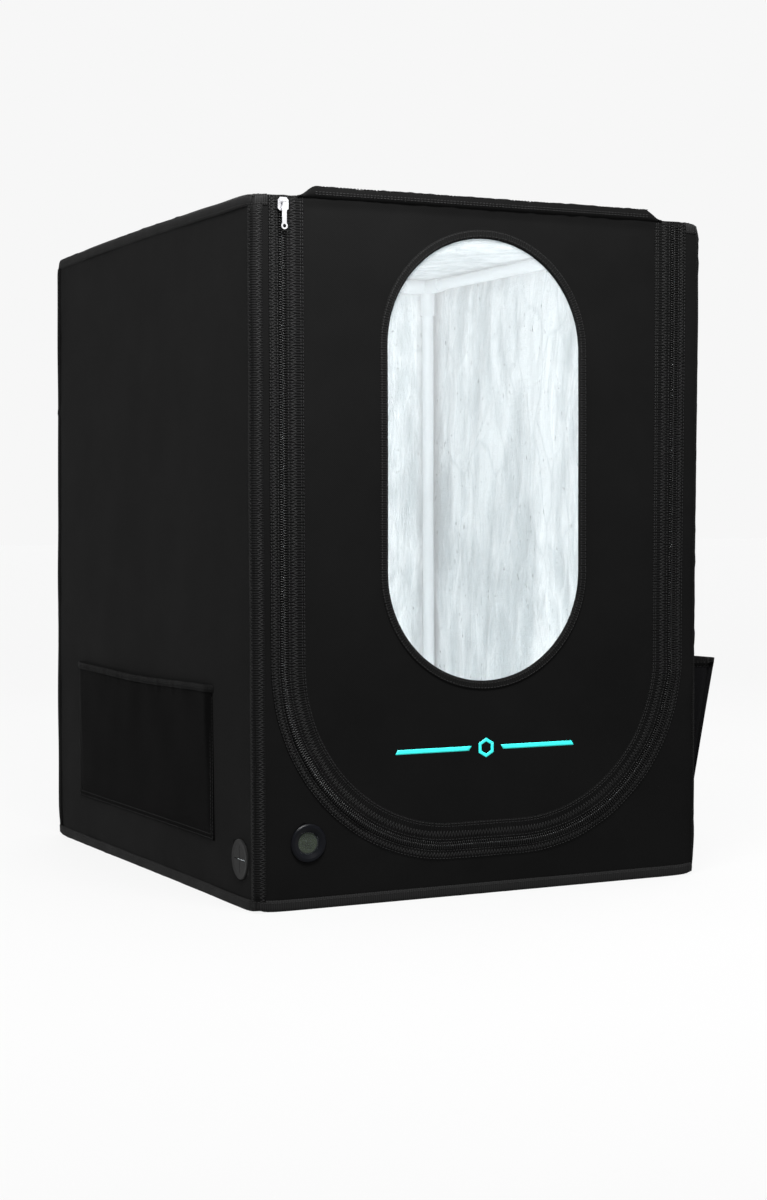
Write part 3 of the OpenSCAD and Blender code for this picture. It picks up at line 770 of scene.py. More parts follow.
def surround_grid(rim, top, rows=22):
    """Grid over the wall around the door, from beside the zipper out to the wall's own edge."""
    r = ZIP_CORNER_R + PANEL_GAP
    far_x, far_z = RIGHT_X - rim, rim
    corner = math.pi + math.atan2(BEND_Z - far_z, far_x - BEND_X)
    left = (-BEND_X, BEND_Z)
    centres, sides = trace((
        ((-BEND_X, top), left, math.pi, math.pi, 56),
        (left, left, math.pi, corner, 26),
        (left, left, corner, 1.5 * math.pi, 26),
        (left, (0, BEND_Z), 1.5 * math.pi, 1.5 * math.pi, 8)), last=True)
    across, down = np.maximum(np.abs(sides), 1e-9).T
    reach = np.minimum((far_x - BEND_X) / across, (centres[:, 1] - far_z) / down)
    half = np.stack([centres + sides * r, centres + sides * reach[:, None]], 1)
    other = half[-2::-1] * np.array([-1, 1])
    ends = np.concatenate([half, other])
    return between(ends[:, 0], ends[:, 1], rows)


def from_zipper(a, b):
    """Signed distance over the front from the zipper's middle line, negative on the door."""
    dx, dz = np.abs(a) - BEND_X, BEND_Z - b
    outside = np.hypot(np.maximum(dx, 0), np.maximum(dz, 0))
    return outside + np.minimum(np.maximum(dx, dz), 0) - ZIP_CORNER_R


def front_height(a, b):
    """Shared height of the front cloth, so that the door and its surround meet. It is calm at
    the meter and along the slider's run, and puckered along the zipper's lower bend."""
    calm = smooth(24 * MM, 60 * MM, np.hypot(a - METER.x, b - METER.z))
    swell = taut(51, a, b, LEFT_X, RIGHT_X, 0, TOP_Z, belly=0.9 * MM, rough=0.6 * MM)
    zipper = from_zipper(a, b)
    straight = smooth(240 * MM, 290 * MM, b)
    run_calm = 1 - straight * (1 - smooth(8 * MM, 45 * MM, np.abs(zipper)))
    pucker = (0.8 * MM * waves(55, 58 * MM, (1.0, 1.0))(a, b) + 0.5 * MM) * (1 - straight)
    pucker = pucker * np.exp(-(zipper / (20 * MM)) ** 2)
    return calm * (swell * run_calm + pucker)


def surround_strip(rim):
    """Width and length of the surround laid out as one strip of the same area."""
    w, r, low = ZIP_HALF_W + PANEL_GAP, ZIP_CORNER_R + PANEL_GAP, ZIP_LOW - PANEL_GAP
    door = 2 * w * (TOP_Z - low) - (2 - math.pi / 2) * r ** 2
    area = (RIGHT_X - LEFT_X - 2 * rim) * (TOP_Z - rim) - door
    length = 2 * (TOP_Z - low - r) + math.pi * r + 2 * (w - r)
    return area / length, length


def front_surround():
    """Cloth of the front wall around the door, with the thermometer's hole."""
    a, b = surround_grid(0, TOP_Z - CLOTH)
    thing = laid("front_surround_cloth", FRONT, a, b, front_height(a, b), CLOTH, "cover",
                 OXFORD)
    cut_round(thing, METER, (0, 1, 0), METER_HOLE_R)
    declare("front_surround", surround_strip(0))


# Foil lining ---------------------------------------------------------------------------------

def crumple(seed, a, b, depth):
    """Long folds that lean a little from upright, with sharper small creases over them."""
    lean = a + 0.18 * b
    slow = waves(seed, 0.13, (1.0, 3.5))(lean, b)
    ridge = 1 - np.abs(waves(seed + 1, 0.06, (1.0, 3.2))(lean, b))
    small = 1 - np.abs(waves(seed + 2, 0.026, (1.0, 1.7))(a, b))
    return depth * (0.75 * slow + 0.5 * ridge + 0.16 * small)


def linings():
    """Foil inside each panel: it follows the cloth and stands off it in folds."""
    for name, wall, edges, cloth, seed, depth in PANELS:
        spans = tuple(v + sign * SKIN for v, sign in zip(edges, (1, -1, 1, -1)))

        def height(a, b):
            rim = np.minimum(np.minimum(a - spans[0], spans[1] - a),
                             np.minimum(b - spans[2], spans[3] - b))
            free = smooth(0, 40 * MM, rim)
            if wall is LEFT:
                free = free * smooth(26 * MM, 60 * MM, np.hypot(a - GROMMET.y, b - GROMMET.z))
            folds = np.maximum(depth * MM + crumple(seed, a, b, depth * MM), 0)
            return np.minimum(cloth(a, b), FOIL_RISE) - CLOTH - 0.25 * MM - free * folds
        thing = wall_piece(f"{name}_foil", wall, spans, height, FOIL_T,
                           FOIL, 7 * MM)
        if wall is LEFT:
            cut_round(thing, GROMMET, (1, 0, 0), GROMMET_HOLE_R, 14 * MM)
        declare(f"{name}_lining", spans)

    a, b = surround_grid(SKIN, TOP_Z - SKIN)
    thing = laid("front_foil", FRONT, a, b, -CLOTH - LINING_GAP, FOIL_T, "cover",
                 FOIL)
    cut_round(thing, METER, (0, 1, 0), METER_HOLE_R)
    declare("front_lining", surround_strip(SKIN))


# Door ----------------------------------------------------------------------------------------

def door_grid(grow, top, window_grow, rows):
    """Grid over the door, from the window's edge out to the door's own edge."""
    low, high = (0, WINDOW_LOW + WINDOW_R), (0, WINDOW_TOP - WINDOW_R)
    corner = math.atan2(top - high[1], ZIP_HALF_W + grow)
    centres, sides = trace((
        (high, high, 0, corner, 18),
        (high, high, corner, math.pi - corner, 38),
        (high, high, math.pi - corner, math.pi, 18),
        (high, low, math.pi, math.pi, 26),
        (low, low, math.pi, 2 * math.pi, 90),
        (low, high, 2 * math.pi, 2 * math.pi, 26)))
    r = WINDOW_R + window_grow
    near, far = np.full(len(centres), r), np.ones(len(centres))
    for _ in range(40):
        middle = (near + far) / 2
        x, z = (centres + sides * middle[:, None]).T
        inside = np.maximum(from_zipper(x, z) - grow, z - top) < 0
        near, far = np.where(inside, middle, near), np.where(inside, far, middle)
    return between(centres + sides * r, centres + sides * near[:, None], rows)


SEAM_Z = TOP_Z + 2.5 * MM             # where the door's cloth leaves the corded seam


def door_cloth():
    """Cloth of the door, which folds in under the welt at its top."""
    a, b = door_grid(-PANEL_GAP, SEAM_Z, 0, 34)
    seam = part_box("door_top_welt")[1].x
    beside = smooth(seam - 14 * MM, seam - 2 * MM, np.abs(a))
    fold_z = TOP_Z - 12 * MM
    b = np.where(b > fold_z, fold_z + (b - fold_z) * (1 - 0.22 * beside), b)
    lift = 2.4 * MM * smooth(fold_z, SEAM_Z, b) * (1 - beside)
    thing = laid("door_cloth", FRONT, a, b, front_height(a, b) + lift, CLOTH, None,
                 OXFORD, closed=True)
    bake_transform(thing)
    tall = SEAM_Z - ZIP_LOW
    declare("door_panel", (2 * ZIP_HALF_W, tall))


def door_lining():
    """Foil on the inside of the door, around its window."""
    a, b = door_grid(-6 * MM, TOP_Z - 2.4 * MM, 12 * MM, 22)
    top = -CLOTH - LINING_GAP + np.minimum(front_height(a, b), FOIL_RISE)
    thing = laid("door_foil", FRONT, a, b, top, 0.35 * MM, "door", FOIL,
                 closed=True)
    tall = TOP_Z - ZIP_LOW
    declare("door_lining", (2 * ZIP_HALF_W, tall))


def window_line(count=220):
    """The window's outline: points (x, z) and outward directions."""
    low, high = (0, WINDOW_LOW + WINDOW_R), (0, WINDOW_TOP - WINDOW_R)
    arc, run = math.pi * WINDOW_R, high[1] - low[1]
    n, m = (round(count * part / (2 * (arc + run))) for part in (arc, run))
    centres, sides = trace(((high, high, 0, math.pi, n),
                            (high, low, math.pi, math.pi, m),
                            (low, low, math.pi, 2 * math.pi, n),
                            (low, high, 2 * math.pi, 2 * math.pi, m)))
    return centres + sides * WINDOW_R, sides


def on_front(points, sides, shift, out):
    """A line beside a flat line (x, z) on the front: shifted outwards, and that far off the
    cloth. It comes with its outward directions."""
    beside = points + sides * shift
    x, z = beside.T
    path = FRONT.at(x, z, front_height(x, z) + out)
    return path, np.stack([sides[:, 0], 0 * sides[:, 0], sides[:, 1]], 1)


def front_tape(points, sides, profile, closed=False):
    """A tape that lies on the front cloth along a line: points, faces and uv."""
    middle, side = on_front(points, sides, 0, 0)
    _, faces, uv = sweep(middle, side, 0 * side, profile, closed)
    rows = [on_front(points, sides, shift, out)[0] for shift, out in profile]
    return np.stack(rows, 1).reshape(-1, 3), faces, uv


def closed_path(path):
    """The path with its first point again at its end."""
    return np.concatenate([path, path[:1]])


def window_parts():
    """Clear film with a slight billow, the tape sewn around it and its stitching."""
    reach = WINDOW_R + WINDOW_UNDER
    low, high = WINDOW_LOW - WINDOW_UNDER, WINDOW_TOP + WINDOW_UNDER
    turn = np.linspace(0.03, math.pi / 2, 26)
    round_end = reach * (1 - np.cos(turn))
    b = np.concatenate([low + round_end, np.linspace(low + reach, high - reach, 30)[1:-1],
                        (high - round_end)[::-1]])
    deep = np.maximum(np.maximum(low + reach - b, b - (high - reach)), 0)
    half = np.sqrt(reach ** 2 - deep ** 2)
    share = np.linspace(-1, 1, 33)
    a = half[:, None] * share[None, :]
    b = np.broadcast_to(b[:, None], a.shape)
    billow = 1.6 * MM * (1 - share[None, :] ** 2) * np.minimum(half[:, None] / reach, 1)
    out = -CLOTH - LINING_GAP - 0.4 * billow * (1 + 0.4 * waves(71, 0.2)(a, b))
    film = laid("window_sheet", FRONT, a, b, out, FOIL_T, "door", FILM)
    declare("window_film", (2 * reach, high - low))

    points, sides = window_line()
    profile = rounded_band(-0.8 * MM, WINDOW_TAPE + 0.4 * MM, -1.5 * MM, 1.5 * MM)
    bound("window_tape", [front_tape(points, sides, profile, closed=True)], "window_binding",
          BINDING, "door")
    rows = []
    for shift in (2.0 * MM, 7.2 * MM):
        path, _ = on_front(points, sides, shift, 1.35 * MM)
        rows.append(stitches(closed_path(path), FRONT.out))
    sewn("window_stitches", rows, "door")


def printed(line_a, line_b):
    """The part of a thin printed band between two matched lines of (x, z) points."""
    a, b = between(line_a, line_b, 4)
    out = front_height(a, b) + 0.06 * MM
    return skin(FRONT.at(a, b, out + 0.16 * MM), FRONT.at(a, b, out), np.stack([a, b], -1))


def mark():
    """The printed mark, a hexagon between two bars, follows the swell of the door's cloth."""
    low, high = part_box("door_emblem")
    middle = (low.z + high.z) / 2
    radius = (high.z - low.z) / 2
    ring = []
    for k in range(6):
        start, end = (math.radians(30 + 60 * (k + i)) for i in (0, 1))
        for t in np.linspace(0, 1, 6, endpoint=False):
            ring.append(((1 - t) * math.cos(start) + t * math.cos(end),
                         (1 - t) * math.sin(start) + t * math.sin(end)))
    ring = np.array(ring + ring[:1])
    centre = np.array((0, middle))
    parts = [printed(centre + ring * radius, centre + ring * radius * 0.62)]
    reach = radius * math.cos(math.radians(30))
    for sign in (-1, 1):
        x = np.linspace(reach + 12 * MM, high.x, 30) * sign
        slant = 3.0 * MM * sign
        half = 2.5 * MM
        parts.append(printed(np.stack([x - slant, 0 * x + middle + half], 1),
                             np.stack([x, 0 * x + middle - half], 1)))
    emblem = piece("door_mark", parts, "door", PRINT)
    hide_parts("door_emblem")


# Zipper --------------------------------------------------------------------------------------

COIL_PITCH = 2.6 * MM


def coil_rib(sign, radius=0.6 * MM, sides=6):
    """One turn of the coil: from its tape across the middle line. sign is +1 on the cover."""
    spine = np.array([(4.0, 0.9), (3.8, 1.6), (3.0, 2.0), (1.5, 2.15), (0.2, 2.0),
                      (-0.75, 1.5), (-0.9, 0.9)]) * MM
    step = np.gradient(spine, axis=0)
    step /= np.linalg.norm(step, axis=1, keepdims=True)
    points = []
    for (s, o), (ds, do) in zip(spine, step):
        for turn in np.linspace(0, 2 * math.pi, sides, endpoint=False):
            c, k = radius * math.cos(turn), radius * math.sin(turn)
            points.append((k, sign * (s - do * c), o + ds * c))
    return points, tube_faces(len(spine), sides)


def coil(sign):
    """Every turn of one half's coil; the two halves are half a pitch apart."""
    path, side = on_front(*u_line(), 0, 0)
    start = COIL_PITCH * (1 if sign > 0 else 1.5)
    places, _, (across,) = spaced(path, COIL_PITCH, side, start=start, margin=COIL_PITCH)
    up = np.broadcast_to(FRONT.out, across.shape)
    return stamp(coil_rib(sign), places, np.cross(across, up), across, up)


# body, side of the middle line, reach of its tape, its straight rows of stitches, and its
# zigzag's middle and half width, in millimetres
ZIPPER_HALVES = (
    ("door", -1, DOOR_TAPE, (6.5, 21.0, 23.5), 12.5, 3.6),
    ("cover", 1, COVER_TAPE, (5.6, 14.0), 10.0, 2.6),
)


def zipper_half(body, sign, reach, lines, zigzag_at, zigzag_half):
    """Tape, coil and stitching of one half. sign is +1 outside the middle line."""
    points, sides = u_line(TOP_Z - 0.4 * MM)
    edges = sorted((sign * 0.12 * MM, sign * reach))
    tape = piece(f"{body}_zipper_tape",
                [front_tape(points, sides, rounded_band(*edges, -0.2 * MM, 0.95 * MM, 10))],
                body, ZIP_TAPE)
    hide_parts(f"{body}_zipper_half")
    piece(f"{body}_zipper_coil", [coil(sign)], body, COIL)
    rows = []
    for line in lines:
        path, _ = on_front(points, sides, sign * line * MM, 0.9 * MM)
        rows.append(stitches(path, FRONT.out))
    path, side = on_front(points, sides, sign * zigzag_at * MM, 0.9 * MM)
    rows.append(zigzag(path, side, FRONT.out, zigzag_half * MM, 1.9 * MM))
    sewn(f"{body}_zipper_stitches", rows, body)


# Seam that the door hangs from ---------------------------------------------------------------

def door_seam():
    """A padded, double-stitched seam that tapers at both ends."""
    low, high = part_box("door_top_welt")
    n = 240
    x = np.linspace(low.x - 3 * MM, high.x + 3 * MM, n)
    edge = np.minimum(x - x[0], x[-1] - x)
    rise = smooth(0, 22 * MM, edge)
    uneven = waves(81, 0.12)(x, 0 * x)
    pinch = waves(82, 13 * MM)(x, 0 * x)
    full = high.z - TOP_Z - 1.2 * MM
    tall = 1.0 * MM + (full - 1.6 * MM) * rise + (0.35 * uneven + 0.3 * pinch) * MM * rise
    turn = np.linspace(0, math.pi, 9)
    rings = []
    for k in range(n):
        h, y = tall[k], low.y
        front = y - (0.65 + 0.08 * pinch[k]) * MM * rise[k]
        back = high.y + 0.6 * MM
        mid, half = (front + back) / 2, (back - front) / 2
        arch = [(mid - half * math.cos(t), TOP_Z - 0.3 * MM + h - half + half * math.sin(t))
                for t in turn]
        ring = [(front + 0.7 * MM, TOP_Z - 1.5 * MM), (front - 0.35 * MM, TOP_Z + 0.4 * h)]
        ring += arch + [(back, TOP_Z - 1.5 * MM)]
        rings.append([(x[k], p, max(q, TOP_Z - 1.2 * MM)) for p, q in ring])
    rings = np.array(rings)
    m = rings.shape[1]
    uv = np.stack(np.broadcast_arrays(x[:, None], np.arange(m)[None] * 1.5 * MM), -1)
    seam = piece("door_seam", [(rings, tube_faces(n, m), uv)], "cover", OXFORD)
    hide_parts("door_top_welt")
    inner = slice(10, n - 10)
    rows = []
    for height in (2.6 * MM, 5.0 * MM, full - 1.6 * MM):
        path = np.stack([x, np.full(n, low.y - 0.75 * MM), TOP_Z + np.minimum(height, tall)],
                        1)[inner]
        rows.append(stitches(path, (0, -1, 0)))
    sewn("door_seam_stitches", rows)


# Binding tape --------------------------------------------------------------------------------

def folded(width_a, width_b, thickness=1.25 * MM, radius=3.2 * MM):
    """Outline of tape folded round an edge. The edge is at the origin; the tape's first leaf
    lies on the face whose outward direction is the second axis."""
    turn = np.linspace(math.pi / 2, 0, 7)
    t = thickness
    outer = [(-width_a, t * 0.35), (-width_a + 0.8 * MM, t)]
    outer += [(-radius + (radius + t) * math.cos(a), -radius + (radius + t) * math.sin(a))
              for a in turn]
    outer += [(t, -width_b + 0.8 * MM), (t * 0.35, -width_b)]
    inner = [(-0.3 * MM, -width_b), (-0.3 * MM, -0.3 * MM), (-width_a, -0.3 * MM)]
    return np.array(outer + inner)


def edge_wave(seed, values, depth=0.35 * MM):
    """A small wander of a tape's edge along its length."""
    return depth * waves(seed, 0.13)(values, 0 * values)


def upright_bindings():
    """Tape over the four upright edges, with a zigzag row on each leaf."""
    tapes, rows = [], []
    z = np.linspace(TAPE_W - 1 * MM, TOP_Z - TAPE_W + 1 * MM, 90)
    for k, (x, sx, y, sy, first) in enumerate((
            (LEFT_X, -1, FRONT_Y, -1, 11), (RIGHT_X, 1, FRONT_Y, -1, 3.5),
            (LEFT_X, -1, REAR_Y, 1, 12), (RIGHT_X, 1, REAR_Y, 1, 12))):
        path = np.stack([x + sx * edge_wave(90 + k, z), y + sy * edge_wave(95 + k, z), z], 1)
        to_x, to_y = np.array((sx, 0, 0), float), np.array((0, sy, 0), float)
        side, out = (np.broadcast_to(v, path.shape) for v in (to_x, to_y))
        tapes.append(sweep(path, side, out, folded(first * MM, TAPE_W)))
        rows.append(zigzag(path - to_y * 6.5 * MM + to_x * 1.2 * MM, to_y, to_x, 3.2 * MM))
        if first > 5:
            rows.append(zigzag(path - to_x * 6 * MM + to_y * 1.2 * MM, to_x, to_y, 3.0 * MM))
    bound("upright_tapes", tapes, "corner_binding", BINDING)
    sewn("upright_stitches", rows)


def round_corner(before, corner, after, radius=4 * MM, count=6):
    """Points that turn a right-angled corner with a small radius."""
    before, corner, after = (np.array(v, float) for v in (before, corner, after))
    a = (before - corner) / np.linalg.norm(before - corner)
    b = (after - corner) / np.linalg.norm(after - corner)
    centre = corner + (a + b) * radius
    return [centre - radius * (b * math.cos(t) + a * math.sin(t))
            for t in np.linspace(0, math.pi / 2, count)]


def loop_frames(path, closed):
    """Outward horizontal directions of a level path that runs anticlockwise from above."""
    if closed:
        ahead = np.roll(path, -1, 0) - np.roll(path, 1, 0)
    else:
        ahead = np.gradient(path, axis=0)
    ahead[:, 2] = 0
    ahead /= np.linalg.norm(ahead, axis=1, keepdims=True)
    return np.stack([ahead[:, 1], -ahead[:, 0], 0 * ahead[:, 0]], 1)


def dense(points, step=12 * MM):
    """A polyline with its long stretches filled in."""
    points = np.asarray(points, float)
    result = [points[:1]]
    for p, q in zip(points[:-1], points[1:]):
        n = max(1, round(np.linalg.norm(q - p) / step))
        result.append(p + (q - p) * np.linspace(0, 1, n + 1)[1:, None])
    return np.concatenate(result)


def foot_binding():
    """A band around the foot of the cover."""
    corners = [(LEFT_X, FRONT_Y), (RIGHT_X, FRONT_Y), (RIGHT_X, REAR_Y), (LEFT_X, REAR_Y)]
    line = []
    for k, corner in enumerate(corners):
        line += round_corner(corners[k - 1], corner, corners[(k + 1) % 4])
    line = dense(np.array([*line, line[0]]))[:-1]
    path = np.column_stack([line, np.full(len(line), 0.6 * MM)])
    out = loop_frames(path, True)
    up = np.broadcast_to((0.0, 0.0, 1.0), path.shape)
    wobble = edge_wave(101, path[:, 0] + path[:, 1])[:, None]
    path = path + out * wobble
    profile = np.array([(-1.2, 0), (1.0, 0), (1.7, 0.9), (1.85, 4), (1.75, 8), (1.35, 10.9),
                        (0.5, 11.6), (-0.4, 11.2)]) * MM
    # The foot tape is the lighter copy of the binding tape, whose extra lightness is a painted
    # highlight.
    bound("foot_tape", [sweep(path, out, up, profile, closed=True)], "bottom_binding",
          HIGHLIT_EDGE_TAPE)
    rows = [stitches(closed_path(path + out * 1.55 * MM + up * 8.8 * MM), closed_path(out))]
    sewn("foot_stitches", rows)


def top_binding():
    """Tape over the roof's edges, from beside the door around the back to its other side."""
    beside = ZIP_HALF_W + COVER_TAPE + 1 * MM
    start, end = (beside, FRONT_Y), (-beside, FRONT_Y)
    corners = [start, (RIGHT_X, FRONT_Y), (RIGHT_X, REAR_Y), (LEFT_X, REAR_Y),
               (LEFT_X, FRONT_Y), end]
    line = [np.array(start)]
    for k in range(1, 5):
        line += round_corner(corners[k - 1], corners[k], corners[k + 1])
    line = dense(np.array([*line, end]))
    path = np.column_stack([line, np.full(len(line), TOP_Z)])
    out = loop_frames(path, False)
    up = np.broadcast_to((0.0, 0.0, 1.0), path.shape)
    path = path + (out + up) * edge_wave(111, path[:, 0] - path[:, 1])[:, None]
    # The roof tape is the lighter copy of the binding tape, whose extra lightness is a painted
    # highlight.
    bound("roof_tape", [sweep(path, out, up, folded(TAPE_W, TAPE_W))], "top_binding", HIGHLIT_EDGE_TAPE)
    rows = [stitches(path + out * 1.25 * MM - up * 9.5 * MM, out),
            stitches(path + up * 1.25 * MM - out * 9.5 * MM, up)]
    sewn("roof_stitches", rows)


# Side pocket ---------------------------------------------------------------------------------

def side_pocket():
    """A flat patch pocket: sewn down on three sides, with an elasticated mouth."""
    low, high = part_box("side_pocket")
    hem_low, hem_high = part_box("side_pocket_hem")
    deep = 6.6 * MM
    a, b = wall_grid(low.y, high.y, low.z, high.z, 4 * MM)
    s, t = (a - low.y) / (high.y - low.y), (b - low.z) / (high.z - low.z)
    ends = np.minimum(a - low.y, high.y - a)
    pouch = smooth(0, 16 * MM, ends) * smooth(0, 22 * MM, b - low.z)
    open_by = 0.35 + 0.65 * smooth(0.2, 1.0, t)
    gather = waves(121, 17 * MM, (1.0, 9.0))(a, b) * smooth(0.86, 1.0, t)
    loose = waves(122, 70 * MM, (1.0, 1.6))(a, b)
    out = 0.9 * MM + pouch * (deep * open_by * (0.78 + 0.05 * loose) + 0.4 * MM * gather)
    mouth = b - 3.5 * MM * smooth(0.8, 1.0, t) * np.sin(math.pi * s) ** 2
    border = np.minimum(ends, b - low.z)
    out = out + 0.55 * MM * (1 - smooth(7.4 * MM, 8.4 * MM, border)) * (1 - 0.3 * loose)
    # The pocket's cloth is the darker copy of the oxford, whose darkness is painted shade.
    cloth = shell("side_pocket_cloth", LEFT.at(a, mouth, out), LEFT.at(a, mouth, out - MM),
                  "cover", SHADED_POCKET_CLOTH, np.stack([a, b], -1))
    declare("side_pocket", (low.y, high.y, low.z, high.z))

    band = b >= high.z - 11.5 * MM
    start = int(np.argmax(band[0]))
    rise = out[:, start:] + 0.25 * MM + 0.8 * MM * np.sin(
        math.pi * np.linspace(0.12, 0.95, out.shape[1] - start))[None, :]
    hem_a = a[:, start:].copy()
    hem_a[0], hem_a[-1] = hem_low.y, hem_high.y
    hem_b = mouth[:, start:] + 0.4 * MM
    hem = skin(LEFT.at(hem_a, hem_b, rise), LEFT.at(hem_a, hem_b, rise - 1.1 * MM),
               np.stack([hem_a, b[:, start:]], -1))
    bound("side_pocket_edge", [hem], "side_pocket_hem", BINDING)
    rows = []
    middle = out.shape[1] - 2
    for column in (start + 1, middle):
        path = LEFT.at(a[:, column], mouth[:, column], out[:, column] + 1.0 * MM)
        rows.append(stitches(path, (-1, 0, 0)))
    for inset in (1.8 * MM, 6.6 * MM):
        z = np.linspace(low.z + inset, high.z - 12 * MM, 40)
        y = np.linspace(low.y + inset, high.y - inset, 90)
        for path in (np.stack([0 * z + low.y + inset, z], 1),
                     np.stack([y, 0 * y + low.z + inset], 1),
                     np.stack([0 * z + high.y - inset, z], 1)):
            edge = np.minimum(path[:, 0] - low.y, high.y - path[:, 0])
            pull = (smooth(0, 16 * MM, edge) * smooth(0, 22 * MM, path[:, 1] - low.z)
                    * deep * 0.36 * 0.8)
            rows.append(stitches(LEFT.at(path[:, 0], path[:, 1], 1.6 * MM + pull),
                                 (-1, 0, 0)))
    sewn("side_pocket_stitches", rows)


# Tool bag ------------------------------------------------------------------------------------

BAG_LOW, BAG_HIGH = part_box("tool_bag")
BAG_FOOT = 26 * MM
BAG_MOUTH = BAG_HIGH.x - RIGHT_X
BAG_LEAN = math.atan2(BAG_MOUTH - BAG_FOOT, BAG_HIGH.z - BAG_LOW.z)
FACE_UP = np.array((math.sin(BAG_LEAN), 0, math.cos(BAG_LEAN)))
FACE_OUT = np.array((math.cos(BAG_LEAN), 0, -math.sin(BAG_LEAN)))


def slump(y, t):
    """How far the bag's soft face leans back to the wall at a place along it and a height."""
    s = np.clip((y - BAG_LOW.y) / (BAG_HIGH.y - BAG_LOW.y), 0, 1)
    uneven = waves(137, 0.15)(np.asarray(y, float), 0.12 * np.asarray(t, float))
    ends = np.clip(np.sin(math.pi * s), 0, 1)
    return -np.asarray(t, float) ** 1.6 * (13 * MM * ends ** 1.5 + 2.6 * MM * uneven * ends)


def bag_plan(t, count_gusset=26, count_face=110):
    """The bag's outline at height t from 0 to 1: (x, y) points from wall to wall."""
    deep = BAG_FOOT + (BAG_MOUTH - BAG_FOOT) * t
    s = np.linspace(0, 1, count_gusset, endpoint=False)
    fold = np.abs(np.sin(2.5 * math.pi * s)) ** 0.8
    tuck = (3 + 6 * t) * MM * fold * (1 - 0.25 * s)
    y0, y1 = BAG_LOW.y, BAG_HIGH.y
    front = np.stack([RIGHT_X + deep * s, y0 + tuck], 1)
    y = np.linspace(y0, y1, count_face)
    corner = np.minimum(y - y0, y1 - y)
    swell = smooth(0, 60 * MM, corner)
    crinkle = waves(131, 0.05, (1.0, 1.0))(y, 0 * y + 0.4 * t)
    bow = (swell * 0.8 * crinkle * t * MM + slump(y, t)
           - 2.2 * MM * smooth(5 * MM, 0, corner))
    face = np.stack([RIGHT_X + deep + bow, y], 1)
    rear = np.stack([RIGHT_X + deep * s, y1 - tuck], 1)[::-1]
    return np.concatenate([front, face, rear])


def tool_bag():
    """Main bag: pleated gussets and sagging mouth, then its floor, hem and tape."""
    t = np.linspace(0, 1, 40)
    rings = np.stack([bag_plan(v) for v in t], 1)
    y = rings[:, -1, 1]
    share = np.clip((y - BAG_LOW.y) / (BAG_HIGH.y - BAG_LOW.y), 0, 1)
    face = smooth(RIGHT_X + 20 * MM, RIGHT_X + 60 * MM, rings[:, -1, 0])
    sag = -3 * MM * np.sin(math.pi * share) ** 2 * face * (1 + 0.8 * waves(133, 0.12)(y, 0 * y))
    z = BAG_LOW.z + (BAG_HIGH.z - BAG_LOW.z) * t[None, :] + sag[:, None] * smooth(0.55, 1, t)
    foot = 3.0 * MM * (1 - smooth(0, 0.05, t))
    outer = np.stack([rings[..., 0] - foot[None, :], rings[..., 1], z], -1)
    normal = normals(outer)
    inner = outer - normal * 1.0 * MM
    run = run_along(outer[:, -1])
    uv = np.stack(np.broadcast_arrays(run[:, None], t[None] * (BAG_HIGH.z - BAG_LOW.z)), -1)
    cloth = shell("tool_bag_cloth", outer, inner, "cover", BAG_CLOTH, uv)
    tall = (BAG_HIGH.z - BAG_LOW.z) / math.cos(BAG_LEAN)
    declare("tool_bag", (float(run[-1]), tall))
    tool_bag_floor()
    start = int(np.argmax(t > 1 - HEM_W / tall))
    rows = tool_bag_edge(outer[:, start:], inner[:, start:], normal[:, start:], uv[:, start:])
    sewn("tool_bag_stitches", rows + tool_bag_tape())


def tool_bag_floor():
    """The bag's floor, which sags a little between the wall and its face."""
    a, b = np.meshgrid(np.linspace(RIGHT_X, RIGHT_X + BAG_FOOT - 3 * MM, 8),
                       np.linspace(BAG_LOW.y + 4 * MM, BAG_HIGH.y - 4 * MM, 60), indexing="ij")
    height = BAG_LOW.z + 0.8 * MM - 2 * MM * np.sin(math.pi * (a - RIGHT_X) / BAG_FOOT)
    points = np.stack([a, b, height], -1)
    base = shell("tool_bag_floor", points, points - np.array((0, 0, MM)), "cover",
                 BAG_CLOTH, np.stack([a, b], -1))
    declare(None, (BAG_FOOT, BAG_HIGH.y - BAG_LOW.y))


def tool_bag_edge(outer, inner, normal, uv):
    """Hem folded over the bag's mouth. Gives back its two rows of stitches."""
    width = outer.shape[1]
    swell = 0.4 * MM + 0.7 * MM * np.sin(math.pi * np.linspace(0.15, 0.9, width))
    outer = outer + normal * swell[None, :, None]
    inner = inner - normal * 0.3 * MM
    for face in (outer, inner):
        face[:, -1] += np.array((0, 0, 0.7 * MM))
    bound("tool_bag_edge", [skin(outer, inner, uv)], "tool_bag_hem", BINDING)
    return [stitches(outer[:, k] + normal[:, k] * 0.15 * MM, normal[:, k])
            for k in (0, width - 2)]


